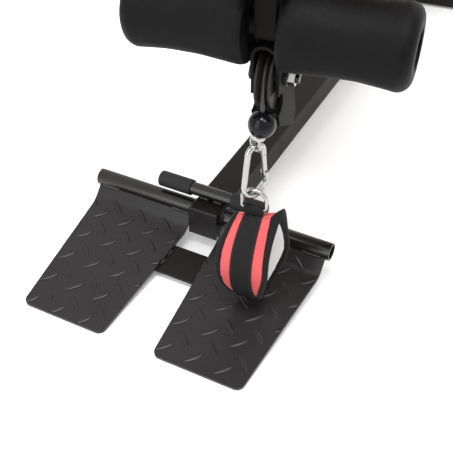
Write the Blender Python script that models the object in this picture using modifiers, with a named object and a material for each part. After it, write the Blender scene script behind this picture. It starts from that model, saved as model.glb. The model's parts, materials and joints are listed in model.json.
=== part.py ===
"""A bench-type roman chair with a swinging foot rail, foam rollers and a low cable pulley.

Metres, +Z up, floor at Z = 0. The origin is on the floor under the foot rail's pivot, +Y to the rear.
The foot rail is modelled straight along Y, under an empty on its pivot that holds its swing at rest.
"""

import math

import bmesh
import bpy
import numpy as np
from mathutils import Euler, Matrix, Vector

# Clearances
SEAT_GAP = 0.0003
RUN_GAP = 0.0003
LINK_GAP = 0.0008
CUT_OVER = 0.01

# Foot tube and plates
FOOT_TUBE_RADIUS = 0.0125
FOOT_TUBE_WALL = 0.002
FOOT_TUBE_HALF = 0.1867
PLATE_THICK = 0.004
PLATE_SLOPE = math.radians(6.1)
PLATE_BEND_AHEAD = 0.030
PLATE_BEND_DROP = 0.023
PLATE_LENGTH = 0.2057
PLATE_INNER_TOP = 0.0254
PLATE_OUTER_TOP = 0.1818
PLATE_INNER_LOW = 0.0379
PLATE_OUTER_LOW = 0.1642
PLATE_CORNER = 0.010
PLATE_FLANGE_ANGLE = math.radians(45)
STRIP_START = 0.0272
STRIP_DEPTH = 0.051
STRIP_HALF = 0.060
STRIP_THICK = 0.004

# Foot rail
RAIL_SIDE = 0.0445
RAIL_WALL = 0.003
RAIL_CORNER = 0.003
RAIL_TOP_ABOVE_TUBE = 0.0188
RAIL_NOSE = 0.0256
RAIL_REACH = 0.8133
RAIL_TAIL = 0.022
CAP_FLANGE = 0.003
CAP_INSERT = 0.015
SWING_REST = math.radians(7.55)
BUSH_RADIUS = 0.0115

# Grip bar on the rail
BAR_RADIUS = 0.0094
BAR_BEHIND_TUBE = 0.0069
BAR_HALF = 0.0815
SLEEVE_RADIUS = 0.0116
SLEEVE_LENGTH = 0.052
SLEEVE_END = 0.0025

# Pivot and base
PIVOT_RADIUS = 0.008
PIVOT_HEAD_RADIUS = 0.0139
PIVOT_HEAD_HEIGHT = 0.010
PIVOT_END = 0.0005
PIVOT_FOOT_RADIUS = 0.028
CLEVIS_THICK = 0.008
CLEVIS_WIDTH = 0.060
CLEVIS_NOSE = 0.030
POST_SIDE = 0.060
POST_WALL = 0.003
POST_SETBACK = 0.075
STABILIZER_SIDE = 0.050
STABILIZER_WALL = 0.0025
STABILIZER_LENGTH = 0.560
FOOT_CAP_WALL = 0.004
FOOT_CAP_LENGTH = 0.045

# Bench
BEAM_SIDE = 0.050
BEAM_WALL = 0.003
BEAM_UNDERSIDE = 0.470
BEAM_REACH = 0.950
STRUT_LOW = 0.220
STRUT_DEPTH = 0.035
STRUT_THICK = 0.006
STRUT_OFFSET = 0.018
SEAT_LENGTH = 0.620
SEAT_WIDTH = 0.300
SEAT_CENTRE = -0.550
SEAT_THICK = 0.055
SEAT_CROWN = 0.010
SEAT_DRAW_IN = 0.006
BOARD_INSET = 0.012
BOARD_THICK = 0.015
BRACKET_LENGTH = 0.200
BRACKET_DEPTH = 0.040
BRACKET_THICK = 0.005
BRACKET_INSET = 0.110
SEAT_BOLT_RADIUS = 0.004
SEAT_BOLT_HEAD_RADIUS = 0.0075
SEAT_BOLT_HEAD = 0.0055
SEAT_BOLT_BITE = 0.010
SEAT_BOLT_OFFSET = 0.080

# Pulley, arm and roller axle
PULLEY_REACH = 0.892
PULLEY_HEIGHT = 0.3457
PULLEY_RADIUS = 0.037
PULLEY_HALF = 0.009
PULLEY_LIP = 0.0025
CABLE_RADIUS = 0.0025
CABLE_WRAP = 0.030
BEARING_RADIUS = 0.011
PULLEY_BOLT_RADIUS = 0.005
PULLEY_NUT_RADIUS = 0.0092
PULLEY_NUT_HEIGHT = 0.008
PULLEY_HEAD_HEIGHT = 0.004
PULLEY_BOLT_END = 0.004
WASHER_RADIUS = 0.010
WASHER_THICK = 0.0035
ARM_HALF = 0.016
ARM_CHEEK = 0.004
ARM_WEB = 0.004
ARM_FRONT = 0.024
ARM_LEAN = math.radians(9)
ARM_BACK = 0.042
ARM_CROWN = 0.050
ARM_CHIN_AHEAD = 0.014
ARM_CHIN_DROP = 0.056
ARM_KNEE_DROP = 0.040
ARM_HEEL_BACK = 0.043
ARM_HEEL_DROP = 0.076
ARM_HEEL_RADIUS = 0.012
ARM_NOTCH_RADIUS = 0.013
ARM_NOTCH_AHEAD = 0.019
ARM_NOTCH_DROP = 0.025
NECK_HALF = 0.0115
NECK_WALL = 0.0035
NECK_BACK = 0.040
AXLE_AHEAD = 0.016
AXLE_ABOVE = 0.067
AXLE_RADIUS = 0.0125
AXLE_WALL = 0.002
AXLE_HALF = 0.1455
PLUG_RADIUS = 0.019
PLUG_FLANGE = 0.003
PLUG_INSERT = 0.015
ROLLER_INNER = 0.022
ROLLER_OUTER = 0.1536
ROLLER_RADIUS = 0.045
ROLLER_WAIST = 0.0415
ROLLER_EDGE = 0.009
ROLLER_RECESS = 0.0215

# Cable's return, inside the post
GUIDE_WRAP = 0.018
GUIDE_RADIUS = 0.022
GUIDE_HALF = 0.007
GUIDE_AXLE_RADIUS = 0.004
SPRING_RADIUS = 0.0075
SPRING_WIRE = 0.0012
SPRING_TURNS = 12
SPRING_LENGTH = 0.130
SPRING_TOP = 0.270
SPRING_PIN_RADIUS = 0.004
CABLE_HOLE_RADIUS = 0.0045

# Cable end, hook and strap
BALL_DROP = 0.0467
BALL_RADIUS = 0.016
CUP_TILT = math.radians(13)
CUP_RADIUS = 0.0075
CUP_HEIGHT = 0.004
EYE_RADIUS = 0.0085
EYE_WIRE = 0.002
HOOK_TURN = math.radians(55)
HOOK_WIRE = 0.004
HOOK_LENGTH = 0.080
HOOK_TOP_BEND = 0.011
HOOK_LOW_BEND = 0.016
GATE_RADIUS = 0.003
GATE_START = 0.10
GATE_STOP = 0.86
GATE_GAP = 0.0005
EAR_THICK = 0.0016
EAR_BELOW = 0.006
EAR_HALF = 0.003
GATE_PIN_RADIUS = 0.0012
GATE_PIN_LIFT = 0.0035
RING_WIRE = 0.0025
RING_HALF = 0.0155
RING_HEIGHT = 0.027
RING_CORNER = 0.0035
TAB_HALF = 0.0120
TAB_THICK = 0.0017
TAB_DROP = 0.010
CUFF_HEIGHT = 0.1339
CUFF_DEPTH = 0.064
CUFF_TIP_RADIUS = 0.007
CUFF_THICK = 0.005
CUFF_HALF_TOP = 0.0255
CUFF_HALF_MIDDLE = 0.033
CUFF_HALF_LOW = 0.0157
WEBBING_HALF = 0.0125
WEBBING_THICK = 0.002

# Places worked out from the sizes above
TUBE_Z = PLATE_BEND_DROP + PLATE_LENGTH * math.sin(PLATE_SLOPE) + PLATE_THICK * math.cos(PLATE_SLOPE)
RAIL_TOP = TUBE_Z + RAIL_TOP_ABOVE_TUBE
RAIL_LOW = RAIL_TOP - RAIL_SIDE
TUBE_Y = -RAIL_REACH
POST_FACE = POST_SETBACK - POST_SIDE / 2
STABILIZER_LOW = FOOT_CAP_WALL
STABILIZER_TOP = STABILIZER_LOW + STABILIZER_SIDE
BEAM_TOP = BEAM_UNDERSIDE + BEAM_SIDE
BEAM_REAR = POST_SETBACK + POST_SIDE / 2
BRACKET_SPREAD = SEAT_LENGTH / 2 - BRACKET_INSET
BRACKET_LOW = BEAM_TOP + SEAT_GAP
BOARD_LOW = BRACKET_LOW + BRACKET_THICK + SEAT_GAP
PAD_LOW = BOARD_LOW + BOARD_THICK + SEAT_GAP
HUB = Vector((0, -PULLEY_REACH, PULLEY_HEIGHT))
AXLE = HUB + Vector((0, -AXLE_AHEAD, AXLE_ABOVE))
CABLE_LINE = HUB.y - CABLE_WRAP
CABLE_RUN_Z = HUB.z + CABLE_WRAP
GUIDE_HUB = Vector((0, POST_SETBACK, CABLE_RUN_Z - GUIDE_WRAP))
SPRING_Y = GUIDE_HUB.y + GUIDE_WRAP
BALL = Vector((0, CABLE_LINE, HUB.z - BALL_DROP))
CUP_AXIS = Vector((-math.sin(CUP_TILT), 0, -math.cos(CUP_TILT)))
CUP_SEAT = BALL + CUP_AXIS * (BALL_RADIUS + SEAT_GAP)
EYE = CUP_SEAT + CUP_AXIS * (CUP_HEIGHT + EYE_RADIUS)
HOOK = EYE - Vector((0, 0, EYE_RADIUS - EYE_WIRE - HOOK_WIRE - RUN_GAP))
HOOK_LOW = HOOK - Vector((0, 0, HOOK_LENGTH - 2 * HOOK_WIRE))
RING = HOOK_LOW + Vector((0, 0, HOOK_WIRE + RING_WIRE + LINK_GAP))
RING_BAR = RING - Vector((0, 0, RING_HEIGHT))
WEBBING_TOP = RING_BAR.z - TAB_DROP
CUFF_TOP = WEBBING_TOP - WEBBING_THICK - SEAT_GAP - CUFF_THICK / 2
CUFF_CENTRE = Vector((RING.x, RING.y, CUFF_TOP - CUFF_HEIGHT / 2))

ALONG_X = Euler((0, math.pi / 2, 0))
ALONG_Y = Euler((math.pi / 2, 0, 0))
UPRIGHT = Euler((0, 0, 0))
HEAD_DOWN = Euler((math.pi, 0, 0))
TO_LEFT = Euler((0, -math.pi / 2, 0))


def clear_scene():
    for old in list(bpy.data.objects):
        bpy.data.objects.remove(old, do_unlink=True)


clear_scene()
PARTS = bpy.data.collections.new("roman_chair")
CUTTERS = bpy.data.collections.new("cutters")
bpy.context.scene.collection.children.link(PARTS)
bpy.context.scene.collection.children.link(CUTTERS)


def finish(name, colour, roughness, metallic=0.0):
    material = bpy.data.materials.new(name)
    material.use_nodes = True
    shader = material.node_tree.nodes["Principled BSDF"]
    shader.inputs["Base Color"].default_value = (*colour, 1)
    shader.inputs["Roughness"].default_value = roughness
    shader.inputs["Metallic"].default_value = metallic
    return material


BLACK_PAINT = finish("black_paint", (0.012, 0.012, 0.014), 0.38)
TREAD_PAINT = finish("tread_paint", (0.035, 0.035, 0.038), 0.5)
RUBBER = finish("sleeve_rubber", (0.05, 0.05, 0.052), 0.6)
FOAM = finish("roller_foam", (0.01, 0.01, 0.011), 0.85)
PLASTIC = finish("black_plastic", (0.015, 0.015, 0.016), 0.35)
ZINC = finish("zinc_plate", (0.62, 0.62, 0.6), 0.28, 1.0)
STEEL = finish("spring_steel", (0.4, 0.4, 0.41), 0.35, 1.0)
BRONZE = finish("bush_bronze", (0.45, 0.3, 0.14), 0.4, 1.0)
VINYL = finish("seat_vinyl", (0.012, 0.012, 0.013), 0.45)
PLY = finish("board_ply", (0.35, 0.22, 0.12), 0.6)
CUFF_CLOTH = finish("cuff_cloth", (0.7, 0.1, 0.1), 0.7)
WEBBING = finish("black_webbing", (0.012, 0.012, 0.013), 0.8)


def keep(obj, material):
    """Files an object with the parts and gives it its finish."""
    PARTS.objects.link(obj)
    obj.data.materials.clear()
    obj.data.materials.append(material)
    if obj.type == "MESH":
        obj.data.shade_smooth()
        obj.data.set_sharp_from_angle(angle=math.radians(35))
    return obj


def guide(obj):
    """Files an object with the cutters."""
    CUTTERS.objects.link(obj)
    obj.hide_render = True
    obj.display_type = "WIRE"
    return obj


def boolean(obj, other, operation="DIFFERENCE"):
    modifier = obj.modifiers.new(other.name, "BOOLEAN")
    modifier.object = other
    modifier.operation = operation
    modifier.solver = "EXACT"


def mesh_object(name, bm, location=(0, 0, 0), rotation=UPRIGHT):
    mesh = bpy.data.meshes.new(name)
    bm.to_mesh(mesh)
    bm.free()
    obj = bpy.data.objects.new(name, mesh)
    obj.location = location
    obj.rotation_euler = rotation
    return obj


def box(name, low, high, corner=0.0, corner_axis=None):
    """A block between two corners. Edges along corner_axis, or all edges, are rounded by corner."""
    low = Vector(low)
    high = Vector(high)
    bm = bmesh.new()
    bmesh.ops.create_cube(bm, size=1)
    bmesh.ops.scale(bm, vec=high - low, verts=bm.verts)
    if corner:
        edges = list(bm.edges)
        if corner_axis is not None:
            spans = [(e, (e.verts[0].co - e.verts[1].co).normalized()) for e in edges]
            edges = [e for e, span in spans if abs(span[corner_axis]) > 0.9]
        bmesh.ops.bevel(bm, geom=edges, offset=corner, segments=2, affect="EDGES", profile=0.5)
    return mesh_object(name, bm, (low + high) / 2)


def rod(name, radius, length, centre, rotation=UPRIGHT, sides=24):
    bm = bmesh.new()
    bmesh.ops.create_cone(
        bm, cap_ends=True, segments=sides, radius1=radius, radius2=radius, depth=length)
    return mesh_object(name, bm, centre, rotation)


def turned(name, profile, centre, rotation=UPRIGHT, steps=32, closed=False):
    """Turns (radius, height) points about Z. They run down the outside, and back up a bore if closed."""
    bm = bmesh.new()
    points = [bm.verts.new((radius, 0, height)) for radius, height in profile]
    for first, second in zip(points, points[1:]):
        bm.edges.new((first, second))
    if closed:
        bm.edges.new((points[-1], points[0]))
    obj = mesh_object(name, bm, centre, rotation)
    screw = obj.modifiers.new("turn", "SCREW")
    screw.steps = steps
    screw.render_steps = steps
    screw.use_merge_vertices = True
    screw.merge_threshold = 0.00001
    return obj


def as_mesh(obj, name):
    """The evaluated shape of an object as a plain welded mesh object. The first object is removed."""
    bpy.context.scene.collection.objects.link(obj)
    bpy.context.view_layer.update()
    evaluated = obj.evaluated_get(bpy.context.evaluated_depsgraph_get())
    mesh = bpy.data.meshes.new_from_object(evaluated)
    bm = bmesh.new()
    bm.from_mesh(mesh)
    bmesh.ops.remove_doubles(bm, verts=bm.verts, dist=0.000001)
    bmesh.ops.recalc_face_normals(bm, faces=bm.faces)
    place = obj.matrix_world.copy()
    bpy.data.objects.remove(obj, do_unlink=True)
    made = mesh_object(name, bm)
    made.matrix_world = place
    return made


def outline(name, points, half, x_middle=0.0):
    """A flat (Y, Z) outline, extruded to both sides of X = x_middle."""
    curve = bpy.data.curves.new(name, "CURVE")
    curve.dimensions = "2D"
    curve.fill_mode = "BOTH"
    curve.extrude = half
    spline = curve.splines.new("POLY")
    spline.points.add(len(points) - 1)
    for point, (y, z) in zip(spline.points, points):
        point.co = (y, z, 0, 1)
    spline.use_cyclic_u = True
    obj = bpy.data.objects.new(name, curve)
    # The curve's own X, Y and Z become the part's Y, Z and X.
    obj.matrix_world = Matrix.Translation((x_middle, 0, 0)) @ Matrix(
        ((0, 0, 1, 0), (1, 0, 0, 0), (0, 1, 0, 0), (0, 0, 0, 1)))
    return as_mesh(obj, name)


def wire(name, points, radius, cyclic=False, resolution=2):
    curve = bpy.data.curves.new(name, "CURVE")
    curve.dimensions = "3D"
    curve.bevel_depth = radius
    curve.bevel_resolution = resolution
    curve.use_fill_caps = True
    spline = curve.splines.new("POLY")
    spline.points.add(len(points) - 1)
    for point, place in zip(spline.points, points):
        point.co = (*place, 1)
    spline.use_cyclic_u = cyclic
    return as_mesh(bpy.data.objects.new(name, curve), name)


def arc(centre, radius, start, stop, count):
    """Points on an arc in a plane, as (first, second) pairs, angles in radians."""
    return [(centre[0] + radius * math.cos(t), centre[1] + radius * math.sin(t))
            for t in np.linspace(start, stop, count)]


def hollow_box(name, low, high, wall, along, corner=0.0):
    """A square tube, open at both ends, along one axis."""
    tube = box(name, low, high, corner, along)
    inner_low = [value + wall for value in low]
    inner_high = [value - wall for value in high]
    inner_low[along] = low[along] - CUT_OVER
    inner_high[along] = high[along] + CUT_OVER
    boolean(tube, guide(box(name + "_bore", inner_low, inner_high)))
    return tube


def hollow_rod(name, radius, wall, half, centre, sides=32):
    """A round tube along X, open at both ends."""
    inner = radius - wall
    profile = [(radius, half), (radius, -half), (inner, -half), (inner, half)]
    return turned(name, profile, centre, ALONG_X, sides, closed=True)


def drill(obj, name, radius, length, centre, rotation, sides=24):
    boolean(obj, guide(rod(name, radius, length, centre, rotation, sides)))


def empty(name, location, turn=0.0):
    pivot = bpy.data.objects.new(name, None)
    pivot.location = location
    pivot.rotation_euler = (0, 0, turn)
    PARTS.objects.link(pivot)
    return pivot


def carry(parent, *objects):
    """Parents objects that were placed in the parent's own frame."""
    for obj in objects:
        obj.parent = parent


def move_origin(obj, point):
    """Puts an object's origin at a point without moving its shape."""
    shift = obj.matrix_basis.inverted() @ Vector(point)
    obj.data.transform(Matrix.Translation(-shift))
    obj.location = Vector(point)


def foot_plate(name, side):
    """One tread plate: sloping tread and the flange that rises to the foot tube."""
    radius = FOOT_TUBE_RADIUS + SEAT_GAP
    along = Vector((0, math.cos(PLATE_FLANGE_ANGLE), math.sin(PLATE_FLANGE_ANGLE)))
    across = Vector((0, math.sin(PLATE_FLANGE_ANGLE), -math.cos(PLATE_FLANGE_ANGLE)))
    bend = Vector((0, -PLATE_BEND_AHEAD, -PLATE_BEND_DROP))
    under = bend.dot(across) + PLATE_THICK
    reach = -math.sqrt(radius ** 2 - under ** 2) - bend.dot(along)
    edge = bend + along * reach
    front = bend + PLATE_LENGTH * Vector((0, -math.cos(PLATE_SLOPE), -math.sin(PLATE_SLOPE)))
    rows = ((edge, PLATE_INNER_TOP, PLATE_OUTER_TOP), (bend, PLATE_INNER_TOP, PLATE_OUTER_TOP),
            (front, PLATE_INNER_LOW, PLATE_OUTER_LOW))
    bm = bmesh.new()
    pairs = []
    for point, inner, outer in rows:
        place = Vector((0, TUBE_Y, TUBE_Z)) + point
        pairs.append([bm.verts.new(place + Vector((side * x, 0, 0))) for x in (inner, outer)])
    for (a, b), (c, d) in zip(pairs, pairs[1:]):
        bm.faces.new((a, b, d, c) if side < 0 else (a, c, d, b))
    bmesh.ops.recalc_face_normals(bm, faces=bm.faces)
    if sum(face.normal.z for face in bm.faces) < 0:
        bmesh.ops.reverse_faces(bm, faces=bm.faces)
    bmesh.ops.bevel(bm, geom=pairs[2], offset=PLATE_CORNER, segments=4, affect="VERTICES", profile=0.5)
    plate = mesh_object(name, bm)
    solid = plate.modifiers.new("thickness", "SOLIDIFY")
    solid.thickness = PLATE_THICK
    solid.offset = -1
    solid.use_even_offset = True
    return keep(plate, TREAD_PAINT)


def tie_strip():
    """Flat strip under both plates."""
    down = Vector((0, -math.cos(PLATE_SLOPE), -math.sin(PLATE_SLOPE)))
    normal = Vector((0, -math.sin(PLATE_SLOPE), math.cos(PLATE_SLOPE)))
    bend = Vector((0, TUBE_Y - PLATE_BEND_AHEAD, TUBE_Z - PLATE_BEND_DROP))
    depth = PLATE_THICK + SEAT_GAP + STRIP_THICK / 2
    centre = bend + down * (STRIP_START + STRIP_DEPTH / 2) - normal * depth
    half = Vector((STRIP_HALF, STRIP_DEPTH / 2, STRIP_THICK / 2))
    strip = box("plate_tie_strip", -half, half)
    strip.location = centre
    strip.rotation_euler = (PLATE_SLOPE, 0, 0)
    return keep(strip, BLACK_PAINT)


def end_cap(name, centre_x, low_z, side, wall, face_y, outward):
    """A moulded cap in the end of a square tube along Y. outward is the way the cap faces, -1 or 1."""
    outer = face_y + outward * (SEAT_GAP + CAP_FLANGE)
    seat = face_y + outward * SEAT_GAP
    deep = face_y - outward * CAP_INSERT
    half = side / 2
    slim = half - wall - SEAT_GAP
    middle = low_z + half
    flange = box(name, (centre_x - half, min(outer, seat), low_z),
                 (centre_x + half, max(outer, seat), low_z + side))
    ends = sorted((deep, seat + outward * CAP_FLANGE / 2))
    insert = guide(box(name + "_insert", (centre_x - slim, ends[0], middle - slim),
                       (centre_x + slim, ends[1], middle + slim)))
    boolean(flange, insert, "UNION")
    return keep(flange, PLASTIC)


def foot_rail_group():
    pivot = empty("foot_rail_pivot", (0, 0, 0), -SWING_REST)
    half = RAIL_SIDE / 2
    rail_front = TUBE_Y - RAIL_NOSE + CAP_FLANGE + SEAT_GAP
    tube_hole = FOOT_TUBE_RADIUS + SEAT_GAP
    tube_place = (0, TUBE_Y, TUBE_Z)
    rail = hollow_box("foot_rail", (-half, rail_front, RAIL_LOW),
                      (half, RAIL_TAIL, RAIL_TOP), RAIL_WALL, 1, RAIL_CORNER)
    drill(rail, "foot_tube_hole", tube_hole, RAIL_SIDE + CUT_OVER, tube_place, ALONG_X, 32)
    drill(rail, "bush_hole", BUSH_RADIUS + SEAT_GAP, RAIL_SIDE + CUT_OVER, (0, 0, RAIL_LOW + half), UPRIGHT)
    keep(rail, BLACK_PAINT)
    cap = end_cap("rail_front_cap", 0, RAIL_LOW, RAIL_SIDE, RAIL_WALL, rail_front, -1)
    tube_room = RAIL_SIDE + RAIL_NOSE - FOOT_TUBE_RADIUS
    drill(cap, "cap_tube_room", tube_hole, tube_room, tube_place, ALONG_X, 32)
    bore = PIVOT_RADIUS + RUN_GAP
    wall = [(BUSH_RADIUS, half), (BUSH_RADIUS, -half), (bore, -half), (bore, half)]
    bush = turned("rail_pivot_bush", wall, (0, 0, RAIL_LOW + half), UPRIGHT, 24, closed=True)
    keep(bush, BRONZE)
    tube = hollow_rod("foot_tube", FOOT_TUBE_RADIUS, FOOT_TUBE_WALL, FOOT_TUBE_HALF, tube_place)
    keep(tube, BLACK_PAINT)
    bar_place = Vector((0, TUBE_Y + BAR_BEHIND_TUBE, RAIL_TOP + SEAT_GAP + BAR_RADIUS))
    bar = keep(rod("grip_bar", BAR_RADIUS, 2 * BAR_HALF, bar_place, ALONG_X), BLACK_PAINT)
    sleeves = [grip_sleeve("grip_sleeve_left", -1, bar_place),
               grip_sleeve("grip_sleeve_right", 1, bar_place)]
    plates = [foot_plate("foot_plate_left", -1), foot_plate("foot_plate_right", 1)]
    carry(pivot, rail, cap, bush, tube, bar, tie_strip(), *sleeves, *plates)
    for cutter in CUTTERS.objects:
        if cutter.parent is None:
            cutter.parent = pivot


def grip_sleeve(name, side, bar_place):
    """A rubber sleeve over a bar end, closed and rounded at its outer end."""
    bore = BAR_RADIUS + SEAT_GAP
    tip = SLEEVE_END + SEAT_GAP
    round_end = arc((SLEEVE_RADIUS - SLEEVE_END, tip - SLEEVE_END), SLEEVE_END, math.pi / 2, 0, 4)
    open_end = tip - SLEEVE_LENGTH
    profile = [(0, tip), *round_end, (SLEEVE_RADIUS, open_end),
               (bore, open_end), (bore, SEAT_GAP), (0, SEAT_GAP)]
    rotation = ALONG_X if side > 0 else TO_LEFT
    return keep(turned(name, profile, bar_place + Vector((side * BAR_HALF, 0, 0)), rotation, 24), RUBBER)


def pivot_group():
    width = CLEVIS_WIDTH / 2
    upper_low = RAIL_TOP + SEAT_GAP
    lower_top = RAIL_LOW - SEAT_GAP
    lower_low = lower_top - CLEVIS_THICK
    upper_top = upper_low + CLEVIS_THICK
    upper = box("clevis_upper", (-width, -CLEVIS_NOSE, upper_low), (width, POST_FACE - SEAT_GAP, upper_top))
    stabilizer_face = POST_SETBACK - STABILIZER_SIDE / 2
    lower = box("clevis_lower", (-width, -CLEVIS_NOSE, lower_low),
                (width, stabilizer_face - SEAT_GAP, lower_top))
    for plate, middle in ((upper, upper_low + CLEVIS_THICK / 2), (lower, lower_low + CLEVIS_THICK / 2)):
        drill(plate, plate.name + "_hole", PIVOT_RADIUS + SEAT_GAP, CLEVIS_THICK + CUT_OVER,
              (0, 0, middle), UPRIGHT)
        keep(plate, BLACK_PAINT)
    nut_top = lower_low - SEAT_GAP
    nut_low = nut_top - PIVOT_HEAD_HEIGHT
    head_low = upper_top + SEAT_GAP
    hexagon_bolt("pivot_bolt", PIVOT_RADIUS, PIVOT_HEAD_RADIUS, PIVOT_HEAD_HEIGHT,
                 head_low - (nut_low - PIVOT_END), Vector((0, 0, head_low)), UPRIGHT)
    hexagon_nut("pivot_nut", PIVOT_RADIUS, PIVOT_HEAD_RADIUS, PIVOT_HEAD_HEIGHT,
                Vector((0, 0, nut_low)), UPRIGHT)
    sole = nut_low - PIVOT_END - SEAT_GAP
    room = PIVOT_HEAD_RADIUS + SEAT_GAP
    profile = [(0, sole), (room, sole), (room, nut_top),
               (PIVOT_FOOT_RADIUS, nut_top), (PIVOT_FOOT_RADIUS, 0), (0, 0)]
    keep(turned("pivot_foot", profile, (0, 0, 0), UPRIGHT, 32), RUBBER)


def hexagon_bolt(name, radius, head_radius, head_height, shank, seat, rotation):
    """A bolt whose head stands on seat, with its shank running back along its own -Z."""
    turn = rotation.to_matrix()
    overlap = head_height / 2
    head = rod(name, head_radius, head_height, seat + turn @ Vector((0, 0, head_height / 2)), rotation, 6)
    middle = seat + turn @ Vector((0, 0, (overlap - shank) / 2))
    body = rod(name + "_shank", radius, shank + overlap, middle, rotation)
    boolean(head, guide(body), "UNION")
    return keep(head, ZINC)


def hexagon_nut(name, radius, nut_radius, height, seat, rotation):
    turn = rotation.to_matrix()
    centre = seat + turn @ Vector((0, 0, height / 2))
    nut = rod(name, nut_radius, height, centre, rotation, 6)
    drill(nut, name + "_bore", radius + SEAT_GAP, height + CUT_OVER, centre, rotation)
    return keep(nut, ZINC)


def base_group():
    half = POST_SIDE / 2
    post_low = STABILIZER_TOP + SEAT_GAP
    post_top = BEAM_UNDERSIDE - SEAT_GAP
    post = hollow_box("base_post", (-half, POST_FACE, post_low),
                      (half, POST_FACE + POST_SIDE, post_top), POST_WALL, 2, RAIL_CORNER)
    drill(post, "post_cable_hole", CABLE_HOLE_RADIUS, 2 * POST_WALL + CUT_OVER,
          (0, POST_FACE, CABLE_RUN_Z), ALONG_Y)
    for name, radius, y, z in (("guide_axle", GUIDE_AXLE_RADIUS, GUIDE_HUB.y, GUIDE_HUB.z),
                               ("spring_pin", SPRING_PIN_RADIUS, SPRING_Y, SPRING_TOP - SPRING_LENGTH)):
        drill(post, name + "_hole", radius + SEAT_GAP, POST_SIDE + CUT_OVER, (0, y, z), ALONG_X)
        keep(rod(name, radius, POST_SIDE, (0, y, z), ALONG_X), ZINC)
    keep(post, BLACK_PAINT)
    side = STABILIZER_SIDE / 2
    length = STABILIZER_LENGTH / 2
    bar = hollow_box("rear_stabilizer", (-length, POST_SETBACK - side, STABILIZER_LOW),
                     (length, POST_SETBACK + side, STABILIZER_TOP), STABILIZER_WALL, 0, RAIL_CORNER)
    keep(bar, BLACK_PAINT)
    for name, way in (("stabilizer_cap_left", -1), ("stabilizer_cap_right", 1)):
        foot_cap(name, way)


def foot_cap(name, way):
    """A moulded foot over a stabilizer end. Its sole is the surface that the base stands on."""
    outer = STABILIZER_SIDE / 2 + FOOT_CAP_WALL
    middle = STABILIZER_LOW + STABILIZER_SIDE / 2
    tip = way * (STABILIZER_LENGTH / 2 + FOOT_CAP_WALL)
    mouth = way * (STABILIZER_LENGTH / 2 - FOOT_CAP_LENGTH)
    x_low, x_high = sorted((tip, mouth))
    cap = box(name, (x_low, POST_SETBACK - outer, middle - outer),
              (x_high, POST_SETBACK + outer, middle + outer))
    room = STABILIZER_SIDE / 2 + SEAT_GAP
    stop = way * (STABILIZER_LENGTH / 2 + SEAT_GAP)
    beyond = way * (STABILIZER_LENGTH / 2 - FOOT_CAP_LENGTH - CUT_OVER)
    r_low, r_high = sorted((stop, beyond))
    boolean(cap, guide(box(name + "_room", (r_low, POST_SETBACK - room, middle - room),
                           (r_high, POST_SETBACK + room, middle + room))))
    return keep(cap, PLASTIC)


def bench_group():
    half = BEAM_SIDE / 2
    beam = hollow_box("bench_beam", (-half, -BEAM_REACH, BEAM_UNDERSIDE),
                      (half, BEAM_REAR, BEAM_TOP), BEAM_WALL, 1, RAIL_CORNER)
    keep(beam, BLACK_PAINT)
    end_cap("beam_cap_front", 0, BEAM_UNDERSIDE, BEAM_SIDE, BEAM_WALL, -BEAM_REACH, -1)
    end_cap("beam_cap_rear", 0, BEAM_UNDERSIDE, BEAM_SIDE, BEAM_WALL, BEAM_REAR, 1)
    for name, way in (("beam_strut_left", -1), ("beam_strut_right", 1)):
        beam_strut(name, way)
    seat_group()


def beam_strut(name, way):
    """A flat bar at 45 degrees from the post up to the beam."""
    foot = POST_FACE - SEAT_GAP
    top = BEAM_UNDERSIDE - SEAT_GAP
    rise = STRUT_DEPTH * math.sqrt(2)
    points = [(foot, STRUT_LOW), (foot, STRUT_LOW + rise),
              (foot - (top - STRUT_LOW - rise), top), (foot - (top - STRUT_LOW), top)]
    return keep(outline(name, points, STRUT_THICK / 2, way * (STRUT_OFFSET + STRUT_THICK / 2)), BLACK_PAINT)


def seat_group():
    half_w = SEAT_WIDTH / 2 - BOARD_INSET
    half_l = SEAT_LENGTH / 2 - BOARD_INSET
    board = box("seat_board", (-half_w, SEAT_CENTRE - half_l, BOARD_LOW),
                (half_w, SEAT_CENTRE + half_l, BOARD_LOW + BOARD_THICK), BOARD_INSET, 2)
    bore = SEAT_BOLT_RADIUS + SEAT_GAP
    for name, way in (("seat_bracket_front", -1), ("seat_bracket_rear", 1)):
        y = SEAT_CENTRE + way * BRACKET_SPREAD
        bracket = box(name, (-BRACKET_LENGTH / 2, y - BRACKET_DEPTH / 2, BRACKET_LOW),
                      (BRACKET_LENGTH / 2, y + BRACKET_DEPTH / 2, BRACKET_LOW + BRACKET_THICK))
        for side in (-1, 1):
            x = side * SEAT_BOLT_OFFSET
            hole = f"{name}_hole_{side + 1}"
            through = BRACKET_THICK + CUT_OVER
            drill(bracket, hole, bore, through, (x, y, BRACKET_LOW), UPRIGHT, 16)
            bite = SEAT_BOLT_BITE + SEAT_GAP
            middle = BOARD_LOW + bite / 2 - CUT_OVER
            drill(board, hole + "_board", bore, bite + 2 * CUT_OVER, (x, y, middle), UPRIGHT, 16)
            bolt = name.replace("bracket", "bolt") + ("_left" if side < 0 else "_right")
            shank = BOARD_LOW + SEAT_BOLT_BITE - (BRACKET_LOW - SEAT_GAP)
            hexagon_bolt(bolt, SEAT_BOLT_RADIUS, SEAT_BOLT_HEAD_RADIUS, SEAT_BOLT_HEAD, shank,
                         Vector((x, y, BRACKET_LOW - SEAT_GAP)), HEAD_DOWN)
        keep(bracket, BLACK_PAINT)
    keep(board, PLY)
    seat_pad()


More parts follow.
